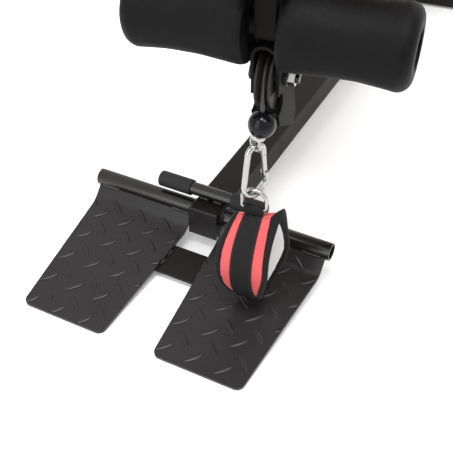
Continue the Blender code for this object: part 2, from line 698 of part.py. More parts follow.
def seat_pad():
    """A crowned cushion, flat below, with sides drawn in between its corners."""
    bm = bmesh.new()
    bmesh.ops.create_cube(bm, size=2)
    bmesh.ops.subdivide_edges(bm, edges=bm.edges, cuts=5, use_grid_fill=True)
    for vert in bm.verts:
        u, v, w = vert.co
        draw_u = SEAT_DRAW_IN * (1 - v * v) * abs(u)
        draw_v = SEAT_DRAW_IN * (1 - u * u) * abs(v)
        x = u * (SEAT_WIDTH / 2) - math.copysign(draw_u, u)
        y = v * (SEAT_LENGTH / 2) - math.copysign(draw_v, v)
        crown = SEAT_CROWN * (1 - u * u) * (1 - v * v) * max(w, 0)
        z = (w + 1) / 2 * (SEAT_THICK - SEAT_CROWN) + crown
        vert.co = (x, SEAT_CENTRE + y, PAD_LOW + z)
    pad = mesh_object("seat_pad", bm)
    smooth = pad.modifiers.new("soft", "SUBSURF")
    smooth.levels = 1
    smooth.render_levels = 1
    return keep(pad, VINYL)


def tangent_angle(centre, radius, point, way):
    """The angle on a circle where a line from a point outside touches it, on its way = -1 or 1 side."""
    reach = Vector(point) - Vector(centre)
    return math.atan2(reach.y, reach.x) + way * math.acos(radius / reach.length)


def bracket_side():
    """The arm's side view, from its chin round the heel and up its back to the crown."""
    chin = (HUB.y - ARM_CHIN_AHEAD, HUB.z - ARM_CHIN_DROP)
    knee = (HUB.y + ARM_BACK, HUB.z - ARM_KNEE_DROP)
    heel = (HUB.y + ARM_HEEL_BACK, HUB.z - ARM_HEEL_DROP)
    first = tangent_angle(heel, ARM_HEEL_RADIUS, chin, 1) - 2 * math.pi
    last = tangent_angle(heel, ARM_HEEL_RADIUS, knee, -1)
    rise = ARM_CROWN + CUT_OVER
    lean = rise * math.tan(ARM_LEAN)
    front = HUB.y - ARM_FRONT
    return [chin, *arc(heel, ARM_HEEL_RADIUS, first, last, 7), knee, (HUB.y + ARM_BACK, HUB.z + rise),
            (front - lean, HUB.z + rise), (front, HUB.z), (front, HUB.z - ARM_NOTCH_DROP)]


def slot_side():
    """The side view of the room between the arm's cheeks, in front of its web and open below."""
    knee = (HUB.y + ARM_BACK - ARM_WEB, HUB.z - ARM_KNEE_DROP)
    heel = (HUB.y + ARM_HEEL_BACK, HUB.z - ARM_HEEL_DROP)
    radius = ARM_HEEL_RADIUS - ARM_WEB
    turn = tangent_angle(heel, radius, knee, -1)
    touch = (heel[0] + radius * math.cos(turn), heel[1] + radius * math.sin(turn))
    low = heel[1] - ARM_HEEL_RADIUS - CUT_OVER
    top = HUB.z + ARM_CROWN + CUT_OVER
    ahead = HUB.y - ARM_FRONT - ARM_CROWN
    return [(ahead, low), (touch[0], low), touch, knee, (knee[0], top), (ahead, top)]


def arch_block(name, half, crown):
    """A block along Y past both ends of the arm, with a half-round top at the crown's height."""
    low = HUB.z - ARM_HEEL_DROP - ARM_HEEL_RADIUS - 2 * CUT_OVER
    points = [(-half, low), (half, low), *arc((0, crown - half), half, 0, math.pi, 13)]
    reach = ARM_FRONT + ARM_CROWN + ARM_HEEL_BACK + ARM_HEEL_RADIUS
    block = outline(name, points, reach)
    to_front = Matrix.Rotation(-math.pi / 2, 4, "Z")
    block.matrix_world = Matrix.Translation((0, HUB.y, 0)) @ to_front @ block.matrix_world
    return guide(block)


def arm_neck():
    """The post from the pulley's arch up to the beam, with a round boss for the roller axle."""
    boss = AXLE_RADIUS + SEAT_GAP + NECK_WALL
    top = BEAM_UNDERSIDE - SEAT_GAP
    root = HUB.z + ARM_CROWN - 2 * ARM_CHEEK
    front = AXLE.y - boss
    back = HUB.y + NECK_BACK
    points = [(AXLE.y, root), (back, root), (back, top), (front, top),
              *arc((AXLE.y, AXLE.z), boss, math.pi, 1.5 * math.pi, 9)]
    neck = guide(outline("arm_neck", points, NECK_HALF))
    room = NECK_HALF - NECK_WALL
    boolean(neck, guide(box("neck_room", (-room, front + NECK_WALL, AXLE.z + boss),
                            (room, back - NECK_WALL, top + CUT_OVER))))
    return neck


def arm_group():
    """The arm under the beam's front: a channel arched over the pulley, with a neck above it."""
    web = HUB.y + ARM_BACK - ARM_WEB / 2
    crown = HUB.z + ARM_CROWN
    arm = outline("drop_arm", bracket_side(), ARM_HALF + CUT_OVER)
    boolean(arm, arch_block("arm_arch", ARM_HALF, crown), "INTERSECT")
    boolean(arm, arm_neck(), "UNION")
    slot = guide(outline("arm_slot", slot_side(), ARM_HALF))
    boolean(slot, arch_block("slot_arch", ARM_HALF - ARM_CHEEK, crown - ARM_CHEEK), "INTERSECT")
    boolean(arm, slot)
    drill(arm, "arm_bolt_hole", PULLEY_BOLT_RADIUS + SEAT_GAP, 2 * ARM_HALF + CUT_OVER, HUB, ALONG_X)
    drill(arm, "arm_axle_hole", AXLE_RADIUS + SEAT_GAP, 2 * ARM_HALF + CUT_OVER, AXLE, ALONG_X, 32)
    drill(arm, "arm_cable_hole", CABLE_HOLE_RADIUS, ARM_WEB + CUT_OVER, (0, web, CABLE_RUN_Z), ALONG_Y)
    notch = HUB - Vector((0, ARM_NOTCH_AHEAD, ARM_NOTCH_DROP))
    drill(arm, "arm_notch", ARM_NOTCH_RADIUS, 2 * ARM_HALF + CUT_OVER, notch, ALONG_X)
    keep(arm, BLACK_PAINT)
    keep(hollow_rod("roller_axle", AXLE_RADIUS, AXLE_WALL, AXLE_HALF, AXLE), BLACK_PAINT)
    for name, way in (("axle_plug_left", -1), ("axle_plug_right", 1)):
        axle_plug(name, way)
    for name, way in (("foam_roller_left", -1), ("foam_roller_right", 1)):
        foam_roller(name, way)


def axle_plug(name, way):
    """A moulded plug in the axle's end, whose flange keeps the roller on."""
    insert = AXLE_RADIUS - AXLE_WALL - SEAT_GAP
    seat = AXLE_HALF + SEAT_GAP
    profile = [(0, seat + PLUG_FLANGE), (PLUG_RADIUS, seat + PLUG_FLANGE), (PLUG_RADIUS, seat),
               (insert, seat), (insert, seat - PLUG_INSERT), (0, seat - PLUG_INSERT)]
    rotation = ALONG_X if way > 0 else TO_LEFT
    return keep(turned(name, profile, AXLE, rotation, 24), PLASTIC)


def foam_roller(name, way):
    """A foam sleeve, a little waisted, with round edges and a recess for the plug's flange."""
    middle = (ROLLER_INNER + ROLLER_OUTER) / 2
    span = (ROLLER_OUTER - ROLLER_INNER) / 2
    edge = ROLLER_RADIUS - ROLLER_EDGE
    waist = [(ROLLER_WAIST + (ROLLER_RADIUS - ROLLER_WAIST) * t * t, middle + t * (span - ROLLER_EDGE))
             for t in (0.6, 0.3, 0, -0.3, -0.6)]
    outer_edge = arc((edge, ROLLER_OUTER - ROLLER_EDGE), ROLLER_EDGE, math.pi / 2, 0, 5)
    inner_edge = arc((edge, ROLLER_INNER + ROLLER_EDGE), ROLLER_EDGE, 0, -math.pi / 2, 5)
    bore = AXLE_RADIUS + RUN_GAP
    recess = AXLE_HALF - SEAT_GAP
    profile = [(ROLLER_RECESS, ROLLER_OUTER), *outer_edge, *waist, *inner_edge,
               (bore, ROLLER_INNER), (bore, recess), (ROLLER_RECESS, recess)]
    rotation = ALONG_X if way > 0 else TO_LEFT
    return keep(turned(name, profile, AXLE, rotation, 32, closed=True), FOAM)


def grooved_wheel(name, radius, half, lip, wrap, bore, centre):
    """A cable wheel, with a groove that the cable lies in without touching."""
    groove = wrap - CABLE_RADIUS - RUN_GAP
    mouth = half - lip
    floor = CABLE_RADIUS + RUN_GAP
    profile = [(radius, half), (radius, mouth), (groove, floor), (groove, -floor),
               (radius, -mouth), (radius, -half), (bore, -half), (bore, half)]
    return keep(turned(name, profile, centre, ALONG_X, 36, closed=True), PLASTIC)


def pulley_group():
    wheel_bore = BEARING_RADIUS + SEAT_GAP
    grooved_wheel("pulley_wheel", PULLEY_RADIUS, PULLEY_HALF, PULLEY_LIP, CABLE_WRAP, wheel_bore, HUB)
    reach = ARM_HALF - ARM_CHEEK - RUN_GAP
    bore = PULLEY_BOLT_RADIUS + RUN_GAP
    bearing = [(BEARING_RADIUS, reach), (BEARING_RADIUS, -reach), (bore, -reach), (bore, reach)]
    keep(turned("pulley_bearing", bearing, HUB, ALONG_X, 24, closed=True), STEEL)
    washer_seat = ARM_HALF + SEAT_GAP
    nut_seat = washer_seat + WASHER_THICK + SEAT_GAP
    shank = nut_seat + nut_seat + PULLEY_NUT_HEIGHT + PULLEY_BOLT_END
    to_seat = Vector((nut_seat, 0, 0))
    hexagon_bolt("pulley_bolt", PULLEY_BOLT_RADIUS, PULLEY_NUT_RADIUS, PULLEY_HEAD_HEIGHT, shank,
                 HUB - to_seat, TO_LEFT)
    hexagon_nut("pulley_nut", PULLEY_BOLT_RADIUS, PULLEY_NUT_RADIUS, PULLEY_NUT_HEIGHT,
                HUB + to_seat, ALONG_X)
    washer("pulley_washer_left", washer_seat, TO_LEFT)
    washer("pulley_washer_right", washer_seat, ALONG_X)
    guide_bore = GUIDE_AXLE_RADIUS + RUN_GAP
    grooved_wheel("guide_pulley", GUIDE_RADIUS, GUIDE_HALF, PULLEY_LIP, GUIDE_WRAP, guide_bore, GUIDE_HUB)


def washer(name, seat, rotation):
    hole = PULLEY_BOLT_RADIUS + SEAT_GAP
    far = seat + WASHER_THICK
    profile = [(WASHER_RADIUS, far), (WASHER_RADIUS, seat), (hole, seat), (hole, far)]
    return keep(turned(name, profile, HUB, rotation, 24, closed=True), PLASTIC)


def cable_group():
    """The cable from the ball stop over the pulley, back to the post and down to the return spring."""
    start = BALL.z + BALL_RADIUS + SEAT_GAP
    over = [(0, y, z) for y, z in arc((HUB.y, HUB.z), CABLE_WRAP, math.pi, math.pi / 2, 9)]
    down = [(0, y, z) for y, z in arc((GUIDE_HUB.y, GUIDE_HUB.z), GUIDE_WRAP, math.pi / 2, 0, 9)]
    route = [(0, CABLE_LINE, start), *over, *down, (0, SPRING_Y, SPRING_TOP + SPRING_WIRE + SEAT_GAP)]
    keep(wire("cable", route, CABLE_RADIUS), PLASTIC)
    return_spring()
    side = arc((0, 0), BALL_RADIUS, math.pi / 2, -math.pi / 2, 13)[1:-1]
    ball = [(0, BALL_RADIUS), *side, (0, -BALL_RADIUS)]
    keep(turned("cable_ball", ball, BALL, UPRIGHT, 24), PLASTIC)
    cable_eye()


def return_spring():
    """A close coil from the cable's end down to its pin, measured for the gap between turns."""
    low = SPRING_TOP - SPRING_LENGTH + SPRING_PIN_RADIUS + SPRING_WIRE + SEAT_GAP
    steps = SPRING_TURNS * 8
    points = []
    for i in range(steps + 1):
        turn = 2 * math.pi * i / 8
        points.append((SPRING_RADIUS * math.cos(turn), SPRING_Y + SPRING_RADIUS * math.sin(turn),
                       low + (SPRING_TOP - low) * i / steps))
    places = np.array(points)
    least = min(np.linalg.norm(places[i + 5:] - places[i], axis=1).min() for i in range(steps - 4))
    print("return_spring least gap to itself, mm:", round((least - 2 * SPRING_WIRE) * 1000, 2))
    keep(wire("return_spring", points, SPRING_WIRE, resolution=1), STEEL)


def cable_eye():
    """The crimped cup on the ball's low side and the eye that the hook hangs from."""
    profile = [(0, 0), (CUP_RADIUS, 0), (CUP_RADIUS, -CUP_HEIGHT), (0, -CUP_HEIGHT)]
    cup = as_mesh(turned("cup", profile, CUP_SEAT, Euler((0, CUP_TILT, 0)), 24), "cable_eye")
    ring = [(EYE_RADIUS * math.cos(t), 0, EYE_RADIUS * math.sin(t)) for t in np.arange(24) * math.pi / 12]
    eye = wire("eye_ring", ring, EYE_WIRE, cyclic=True)
    eye.matrix_world = Matrix.Translation(EYE) @ Matrix.Rotation(HOOK_TURN + math.pi / 2, 4, "Z")
    boolean(cup, guide(eye), "UNION")
    return keep(cup, ZINC)


def hook_path():
    """The hook's centre line in its plane, from the gate's pivot round the bottom and top to the nose."""
    height = HOOK_LENGTH - 2 * HOOK_WIRE
    top = (0, -HOOK_TOP_BEND)
    low = (0, -height + HOOK_LOW_BEND)
    lean = math.asin((HOOK_LOW_BEND - HOOK_TOP_BEND) / (top[1] - low[1]))
    side = Vector((math.cos(lean), math.sin(lean)))
    gate_low = Vector(low) + HOOK_LOW_BEND * side
    gate_top = Vector(top) + HOOK_TOP_BEND * side
    start = gate_low.lerp(gate_top, GATE_START)
    stop = gate_low.lerp(gate_top, GATE_STOP)
    round_low = arc(low, HOOK_LOW_BEND, lean, -math.pi - lean, 17)
    round_top = arc(top, HOOK_TOP_BEND, math.pi - lean, lean, 15)
    return [tuple(start), *round_low, *round_top, tuple(stop)], start, stop


def hook_group():
    turn = empty("hook_pivot", HOOK, HOOK_TURN)
    path, start, stop = hook_path()
    along = (stop - start).normalized()
    lean = math.atan2(along.x, along.y)
    hook = wire("snap_hook", [(x, 0, z) for x, z in path], HOOK_WIRE)
    # The gate's foot is a radius and a lift away from its pin, so its corner needs room to turn.
    foot_gap = math.hypot(GATE_RADIUS, GATE_PIN_LIFT) - GATE_PIN_LIFT + GATE_GAP
    pin_rise = foot_gap + GATE_PIN_LIFT
    pin_place = start + along * pin_rise
    ear_in = GATE_RADIUS + GATE_GAP
    ear_top = pin_rise + EAR_HALF
    for name, way in (("ear_front", -1), ("ear_back", 1)):
        aside = way * (ear_in + EAR_THICK / 2)
        half = Vector((EAR_HALF, EAR_THICK / 2, (EAR_BELOW + ear_top) / 2))
        ear = guide(box(name, -half, half))
        centre = start + along * (ear_top - EAR_BELOW) / 2
        ear.location = (centre.x, aside, centre.y)
        ear.rotation_euler = (0, lean, 0)
        ear.parent = turn
        boolean(hook, ear, "UNION")
    pin_length = 2 * (ear_in + EAR_THICK)
    pin_at = (pin_place.x, 0, pin_place.y)
    hole_radius = GATE_PIN_RADIUS + RUN_GAP
    hole = guide(rod("gate_pin_hole", hole_radius, pin_length + CUT_OVER, pin_at, ALONG_Y, 16))
    hole.parent = turn
    boolean(hook, hole)
    keep(hook, ZINC)
    pin = keep(rod("gate_pin", GATE_PIN_RADIUS, pin_length, pin_at, ALONG_Y, 12), ZINC)
    first = start + along * foot_gap
    last = stop - along * GATE_GAP
    centre = (first + last) / 2
    middle = (centre.x, 0, centre.y)
    gate = rod("hook_gate", GATE_RADIUS, (last - first).length, middle, Euler((0, lean, 0)), 16)
    boolean(gate, hole)
    keep(gate, ZINC)
    move_origin(gate, pin_at)
    carry(turn, hook, pin, gate)


def cuff_half(rise):
    """Half the cuff's width at a share of its half height, from -1 at the bottom to 1 at the top."""
    end = CUFF_HALF_TOP if rise > 0 else CUFF_HALF_LOW
    return CUFF_HALF_MIDDLE + (end - CUFF_HALF_MIDDLE) * rise ** 2


def strap_loop(side_steps=9, tip_steps=8):
    """The strap's lens-shaped loop: two flat arcs joined by round tips, as (place, normal, rise) steps."""
    tip = CUFF_HEIGHT / 2 - CUFF_TIP_RADIUS
    depth = CUFF_DEPTH / 2 - CUFF_TIP_RADIUS
    set_back = (tip ** 2 - depth ** 2) / (2 * depth)
    radius = CUFF_DEPTH / 2 + set_back
    turn = math.atan2(tip, set_back)
    arcs = ((-turn, turn, radius, (-set_back, 0), side_steps),
            (turn, math.pi - turn, CUFF_TIP_RADIUS, (0, tip), tip_steps),
            (math.pi - turn, math.pi + turn, radius, (set_back, 0), side_steps),
            (math.pi + turn, 2 * math.pi - turn, CUFF_TIP_RADIUS, (0, -tip), tip_steps))
    for start, stop, bend, (y, z), steps in arcs:
        for angle in np.linspace(start, stop, steps, endpoint=False):
            normal = Vector((0, math.cos(angle), math.sin(angle)))
            place = Vector((0, y, z)) + bend * normal
            yield CUFF_CENTRE + place, normal, place.z / (CUFF_HEIGHT / 2)


def loop_band(name, section, material):
    """A closed band round the strap's loop. section gives (across, outward) points at each rise."""
    bm = bmesh.new()
    rings = []
    for place, normal, rise in strap_loop():
        points = [place + Vector((across, 0, 0)) + normal * out for across, out in section(rise)]
        rings.append([bm.verts.new(point) for point in points])
    sides = len(rings[0])
    for ring, following in zip(rings, rings[1:] + rings[:1]):
        for i in range(sides):
            bm.faces.new((ring[i], ring[(i + 1) % sides], following[(i + 1) % sides], following[i]))
    bmesh.ops.recalc_face_normals(bm, faces=bm.faces)
    obj = keep(mesh_object(name, bm), material)
    move_origin(obj, HOOK_LOW)
    return obj


def ring_path():
    """The ring's centre line: a half-round top, straight legs, and a bar with rounded corners."""
    round_top = arc((0, -RING_HALF), RING_HALF, 0, math.pi, 17)
    inset = RING_HALF - RING_CORNER
    low = RING_CORNER - RING_HEIGHT
    left = arc((-inset, low), RING_CORNER, math.pi, 1.5 * math.pi, 5)
    right = arc((inset, low), RING_CORNER, 1.5 * math.pi, 2 * math.pi, 5)
    return [(x, 0, z) for x, z in (*round_top, *left, *right)]


def strap_group():
    ring = wire("d_ring", ring_path(), RING_WIRE, cyclic=True)
    ring.location = RING
    keep(ring, ZINC)
    move_origin(ring, HOOK_LOW)
    move_origin(strap_tab(), HOOK_LOW)
    loop_band("cuff_pad", pad_section, CUFF_CLOTH)
    loop_band("strap_webbing", webbing_section, WEBBING)


def pad_section(rise):
    """The cuff's cross section, a flat bar with its corners taken off."""
    wide = cuff_half(rise)
    thick = CUFF_THICK / 2
    edge = CUFF_THICK / 3
    corner = [(wide, -thick + edge), (wide, thick - edge), (wide - edge, thick)]
    return [(wide - edge, -thick), *corner, *[(-across, out) for across, out in reversed(corner)],
            (-wide + edge, -thick)]


def webbing_section(rise):
    """The webbing's cross section, a flat bar on the outside of the cuff."""
    low = CUFF_THICK / 2 + SEAT_GAP
    high = low + WEBBING_THICK
    return [(WEBBING_HALF, low), (WEBBING_HALF, high), (-WEBBING_HALF, high), (-WEBBING_HALF, low)]


def strap_tab():
    """The webbing fold that holds the ring's bar to the strap, two layers thick below the bar."""
    hole = RING_WIRE + RUN_GAP
    tab = rod("strap_tab", hole + TAB_THICK, 2 * TAB_HALF, RING_BAR, ALONG_X)
    low = Vector((RING_BAR.x - TAB_HALF, RING_BAR.y - TAB_THICK, WEBBING_TOP + SEAT_GAP))
    high = RING_BAR + Vector((TAB_HALF, TAB_THICK, 0))
    boolean(tab, guide(box("tab_foot", low, high)), "UNION")
    drill(tab, "tab_hole", hole, 2 * TAB_HALF + CUT_OVER, RING_BAR, ALONG_X)
    return keep(tab, WEBBING)


foot_rail_group()
pivot_group()
base_group()
bench_group()
arm_group()
pulley_group()
cable_group()
hook_group()
strap_group()
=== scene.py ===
"""Dresses the roman chair's frame: tread, welds, rollers, cable end, hook, ankle strap, seat and stage.

Everything is in metres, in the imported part's frame: +Z up, +Y to the rear, and the origin on the floor
under the pivot.
"""

import json
import math

import bmesh
import bpy
from mathutils import Matrix, Vector, noise


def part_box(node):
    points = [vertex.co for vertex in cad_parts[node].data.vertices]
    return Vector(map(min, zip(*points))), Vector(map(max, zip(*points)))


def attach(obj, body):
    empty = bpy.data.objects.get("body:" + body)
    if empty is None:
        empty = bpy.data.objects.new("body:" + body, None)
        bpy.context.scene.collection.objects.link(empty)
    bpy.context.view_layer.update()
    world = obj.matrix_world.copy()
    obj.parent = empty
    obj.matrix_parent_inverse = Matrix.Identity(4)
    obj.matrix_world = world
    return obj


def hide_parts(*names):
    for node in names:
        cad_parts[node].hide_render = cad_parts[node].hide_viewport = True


bl_info = {
    "name": "Roman Chair Dressing",
    "version": (1, 0, 0),
    "blender": (4, 5, 0),
    "location": "View3D > Sidebar > Roman Chair",
    "description": "Builds the visible surfaces of a roman chair with foot plates, rollers and a strap",
    "category": "Object",
}

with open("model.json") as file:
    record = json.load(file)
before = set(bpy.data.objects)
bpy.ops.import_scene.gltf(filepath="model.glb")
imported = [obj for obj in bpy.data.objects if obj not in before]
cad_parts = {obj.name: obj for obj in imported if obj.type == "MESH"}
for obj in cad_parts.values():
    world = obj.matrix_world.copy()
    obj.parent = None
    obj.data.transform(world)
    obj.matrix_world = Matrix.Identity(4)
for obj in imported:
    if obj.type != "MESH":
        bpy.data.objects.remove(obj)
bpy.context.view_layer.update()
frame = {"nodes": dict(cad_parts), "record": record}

# Foot rail, in its own straight frame, turned by its rest swing
FOOT_TURN = Matrix.Rotation(math.radians(-7.55), 4, "Z")
TUBE = Vector((0, -0.8133, 0.04885))
TUBE_RADIUS = 0.0125
BEND_AHEAD = 0.030
BEND_DROP = 0.023
PLATE_SLOPE = math.radians(6.1)
FLANGE_SLOPE = math.radians(45)
FLANGE_LENGTH = 0.0259
BEND_RADIUS = 0.026
BEND_REACH = BEND_RADIUS * math.tan((FLANGE_SLOPE - PLATE_SLOPE) / 2)
PLATE_LENGTH = 0.2057
PLATE_THICK = 0.004
PLATE_CORNER = 0.010
INNER_TOP = 0.0254
OUTER_TOP = 0.1818
INNER_LOW = 0.0379
OUTER_LOW = 0.1642
STRIP_START = 0.0272
STRIP_DEPTH = 0.051
RAIL_TOP = 0.06765
RAIL_HALF = 0.02225
BAR_Y = TUBE.y + 0.0069
BAR_RADIUS = 0.0094

# The arm's neck under the beam
NECK_HALF = 0.0115
NECK_FRONT = -0.9243
NECK_BACK = -0.852
NECK_TOP = 0.4697

# Tread: the first steep bar on each plate, as (across, down the slope), and how the two sets of bars lie
TREAD_FIRST = {-1: (-0.1395, 0.0015), 1: (0.0650, -0.0092)}
FLAT_OFFSET = (-0.0175, 0.0205)
STEEP_LEAN = (0.73, 0.68)
FLAT_LEAN = (0.66, -0.75)
TREAD_TOP = -0.013
TREAD_MARGIN = 0.0012
TREAD_COLUMNS = 5

# A tread bar's rings: the share of its width that is left, and of its height that is reached
LOZENGE_RINGS = ((1.0, 0), (0.9, 0.3), (0.75, 0.57), (0.55, 0.8), (0.3, 0.96))
LOZENGE_SUNK = -0.0002
LOZENGE_SIDES = 18
LOZENGE_POINT = 1.3

# Welds: how uneven beads are, how finely they are laid, how far they sink, and where they start and stop
BEAD_SIDES = 8
BEAD_RIPPLE = 0.16
BEAD_RIPPLE_ROUND = 0.15
BEAD_RIPPLE_PITCH = 1.9
BEAD_DRIFT = 0.05
BEAD_DRIFT_PITCH = 0.7
WELD_STEP = 0.0008
WELD_SUNK = 0.3
BAR_WELD = (0.75, 0.2)
BAR_WELD_SPREAD = 0.55
BAR_WELD_RISE = 0.5
STRIP_WELDS = ((0.22, 0.42), (0.58, 0.78))
STRIP_WELD_INSET = 0.0008
FLANGE_WELDS = ((INNER_TOP + 0.003, INNER_TOP + 0.031), (OUTER_TOP - 0.034, OUTER_TOP - 0.006))
BENCH_WELD_STEP = 0.0009
BENCH_WELD_SHARE = 1.2
BENCH_WELD_INSET = 0.006
STRUT_WELD = (0.003, 0.046)
NECK_WELD_INSET = 0.004

# Cable end, hook and strap. The cup is tilted, so what hangs from it hangs a little to the left
HANG_X = -0.006479
HANG_Y = -0.922
BALL = Vector((0, HANG_Y, 0.2990))
BALL_RADIUS = 0.016
CUP_SEAT = Vector((-0.003667, HANG_Y, 0.283118))
CUP_TILT = math.radians(13)
CUP_HEIGHT = 0.004
CUP_RADIUS = 0.0085
CUP_RIM = 0.0022
EYE = Vector((HANG_X, HANG_Y, 0.270938))
EYE_RADIUS = 0.0085
EYE_WIRE = 0.002
HOOK = Vector((HANG_X, HANG_Y, 0.268738))
HOOK_TURN = math.radians(55)
HOOK_WIRE = 0.0035
HOOK_SPAN = 0.072
HOOK_TOP_BEND = 0.011
HOOK_LOW_BEND = 0.016
GATE_START = 0.10
GATE_STOP = 0.86
GATE_GAP = 0.0005
GATE_FOOT_GAP = 0.0016
GATE_RADIUS = 0.003
RING = Vector((HANG_X, HANG_Y, 0.204038))
RING_WIRE = 0.0025
RING_HALF = 0.0155
RING_HEIGHT = 0.027
RING_CORNER = 0.0035
TAB_HALF = 0.012
TAB_THICK = 0.0017
TAB_GAP = 0.0003
TAB_RIB = 0.012
WEBBING_TOP = 0.16704

# The strap's loop is a lens seen from its side: two flat arcs joined by round tips
CUFF_CENTRE = Vector((HANG_X, HANG_Y, 0.095288))
CUFF_HEIGHT = 0.1339
CUFF_DEPTH = 0.064
CUFF_TIP_RADIUS = 0.005
CUFF_HALF_TOP = 0.0255
CUFF_HALF_MIDDLE = 0.033
CUFF_HALF_LOW = {-1: 0.0175, 1: 0.0150}
CUFF_TAPER = {-1: 1.6, 1: 1.3}
CUFF_LEAN = 0.15
CUFF_FLAT = 0.012
CORNER_PULL = {-1: Vector((0, 0, -0.004)), 1: Vector((0.006, 0.007, 0.011))}
LENS_TIP = CUFF_HEIGHT / 2 - CUFF_TIP_RADIUS
LENS_DEPTH = CUFF_DEPTH / 2 - CUFF_TIP_RADIUS
LENS_BACK = (LENS_TIP ** 2 - LENS_DEPTH ** 2) / (2 * LENS_DEPTH)
LENS_RADIUS = CUFF_DEPTH / 2 + LENS_BACK
LENS_TURN = math.atan2(LENS_TIP, LENS_BACK)

# The strap's layers, as distances out from its middle line, and how uneven the cloth is
CUFF_TURNS = 220
CUFF_SEAM = 0.001
COVER_LOW = 0.0002
COVER_TOP = 0.0015
COVER_PUFF = 0.0009
COVER_CREASE = 0.0004
COVER_STEPS = 24
COVER_FULL = 0.95
CREASE_ACROSS = 3
CREASE_ROUND = 7
LINING_LOW = -0.0021
LINING_FOLD = 0.0005
LINING_STEPS = 10
FOLD_ACROSS = 0.6
FOLD_ROUND = 6
BINDING_INSET = 0.55
BINDING_HALF_THICK = 0.0030
BINDING_RIPPLE_DEPTH = 0.03
BINDING_RIPPLE_PITCH = 560
BINDING_SIDES = 14
WEBBING_TURNS = 260
WEBBING_COLUMNS = 10
WEBBING_LOW = 0.0026
WEBBING_HIGH = 0.0043
WEBBING_SELVEDGE = 0.0003
WEBBING_SELVEDGE_START = 0.7
WEBBING_EDGE = 0.0006
WEBBING_DRAWN = 0.0022
STITCH_COUNT = 110
STITCH_START = 0.2
STITCH_SHARE = 0.55
STITCH_INSET = 0.0018
STITCH_HEIGHT = 0.0045
STITCH_ARCH = 0.0003
STITCH_RADIUS = 0.00028

# Rollers
AXLE = Vector((0, -0.908, 0.4127))
ROLLER_INNER = 0.0178
ROLLER_OUTER = 0.1536
ROLLER_RADIUS = 0.045
ROLLER_WAIST = 0.0415
ROLLER_EDGE = 0.009
ROLLER_EDGE_OUTER = 0.015
ROLLER_PRESSED = 0.0035
ROLLER_BORE = 0.0128
ROLLER_RECESS = 0.0215
ROLLER_SEAT = 0.1452
ROLLER_CHAMFER = 0.001
ROLLER_DENT = 0.0005
ROLLER_DENT_SCALE = 45

# Seat
SEAT_CENTRE = -0.550
SEAT_PRESSURE = 4
SEAT_CAP_TOP = 0.009
SEAT_CAP_SIDE = 0.003
SEAT_SEAM_DEPTH = 0.004
SEAT_SEAM_WIDTH = 0.02
SEAT_SEAMS = (-1 / 3, 1 / 3)
SEAT_CUTS = 39
SEAT_FRAMES = 20
SEAT_LIFT = 0.0005
SEAT_SPARE = 0.012
SEAT_DRAW = 0.005
SEAT_CROWN = 0.003
SEAT_RISE = 0.0015
SEAT_TAPER_ACROSS = 0.035
SEAT_TAPER_ALONG = 0.018
SEAT_OUTLINE = 6
SEAT_FACE = 0.99
PIPING_RADIUS = 0.0022
PIPING_COUNT = 240
PIPING_BASE = 0.003
PIPING_BASE_INSET = 0.0005
PIPING_DROP = 0.014
PIPING_UPPER_INSET = 0.0025

# Stage
CAMERA_PLACE = (0.2149, -1.6486, 0.8132)
CAMERA_TURN = (math.radians(48.7), 0, math.radians(19.45))
CAMERA_LENS = 65.2
CAMERA_SENSOR = 36
CAMERA_NEAR = 0.02
FLOOR_HALF = 6
FLOOR_DROP = -0.0006
FLOOR_GLOW = 0.14
WHITE = (1, 1, 1, 1)
LAMP_AIM = Vector((0, -0.7, 0.2))

# Lamps: name, place, power and size. Those named glint show only in gloss
LAMPS = (
    ("key", (-0.9, -2.6, 2.0), 14, 0.8),
    ("fill", (2.4, -1.2, 1.6), 6, 2.2),
    ("top", (0.1, -1.5, 2.8), 58, 0.9),
    ("rear", (0.6, 2.2, 2.0), 14, 1.6),
    ("glint_high", (0.8, -1.4, 1.85), 12, 0.6),
    ("glint_low", (-0.8, -2.6, 0.62), 12, 1.1),
)

# Finishes: the least roughness, and how much lighter a coat is where it wears
ROUGH_LEAST = 0.02
WORN_LIFT = 2.2

# The Mix node's sockets when it mixes colours
MIX_SHARE = 0
MIX_LOW = 6
MIX_HIGH = 7
MIX_RESULT = 2


class ChairColours(bpy.types.PropertyGroup):
    """Colours of the finishes."""

    paint: bpy.props.FloatVectorProperty(
        name="Frame paint", description="Powder coat on the frame", subtype="COLOR", size=3,
        default=(0.0098, 0.0086, 0.0077), min=0, max=1)
    tread: bpy.props.FloatVectorProperty(
        name="Tread paint", description="Coat on the foot plates", subtype="COLOR", size=3,
        default=(0.0165, 0.0148, 0.0155), min=0, max=1)
    rubber: bpy.props.FloatVectorProperty(
        name="Rubber", description="Grip sleeves and soles", subtype="COLOR", size=3,
        default=(0.020, 0.0192, 0.0205), min=0, max=1)
    foam: bpy.props.FloatVectorProperty(
        name="Foam", description="Roller foam", subtype="COLOR", size=3,
        default=(0.0040, 0.0033, 0.0036), min=0, max=1)
    # The plating's grey with painted reflection: lowered evenly below the zinc's own lightness to stand in
    # for a dark room reflected in the bright metal
    zinc_with_painted_shade: bpy.props.FloatVectorProperty(
        name="Zinc", description="Plated hook, ring, bolts and nuts", subtype="COLOR", size=3,
        default=(0.36, 0.36, 0.352), min=0, max=1)
    strap: bpy.props.FloatVectorProperty(
        name="Strap cover", description="Satin cover of the ankle strap", subtype="COLOR", size=3,
        default=(0.55, 0.058, 0.062), min=0, max=1)
    lining: bpy.props.FloatVectorProperty(
        name="Strap lining", description="Soft lining inside the strap", subtype="COLOR", size=3,
        default=(0.76, 0.74, 0.74), min=0, max=1)
    floor: bpy.props.FloatVectorProperty(
        name="Floor", description="Pale studio floor", subtype="COLOR", size=3,
        default=(0.97, 0.97, 0.97), min=0, max=1)


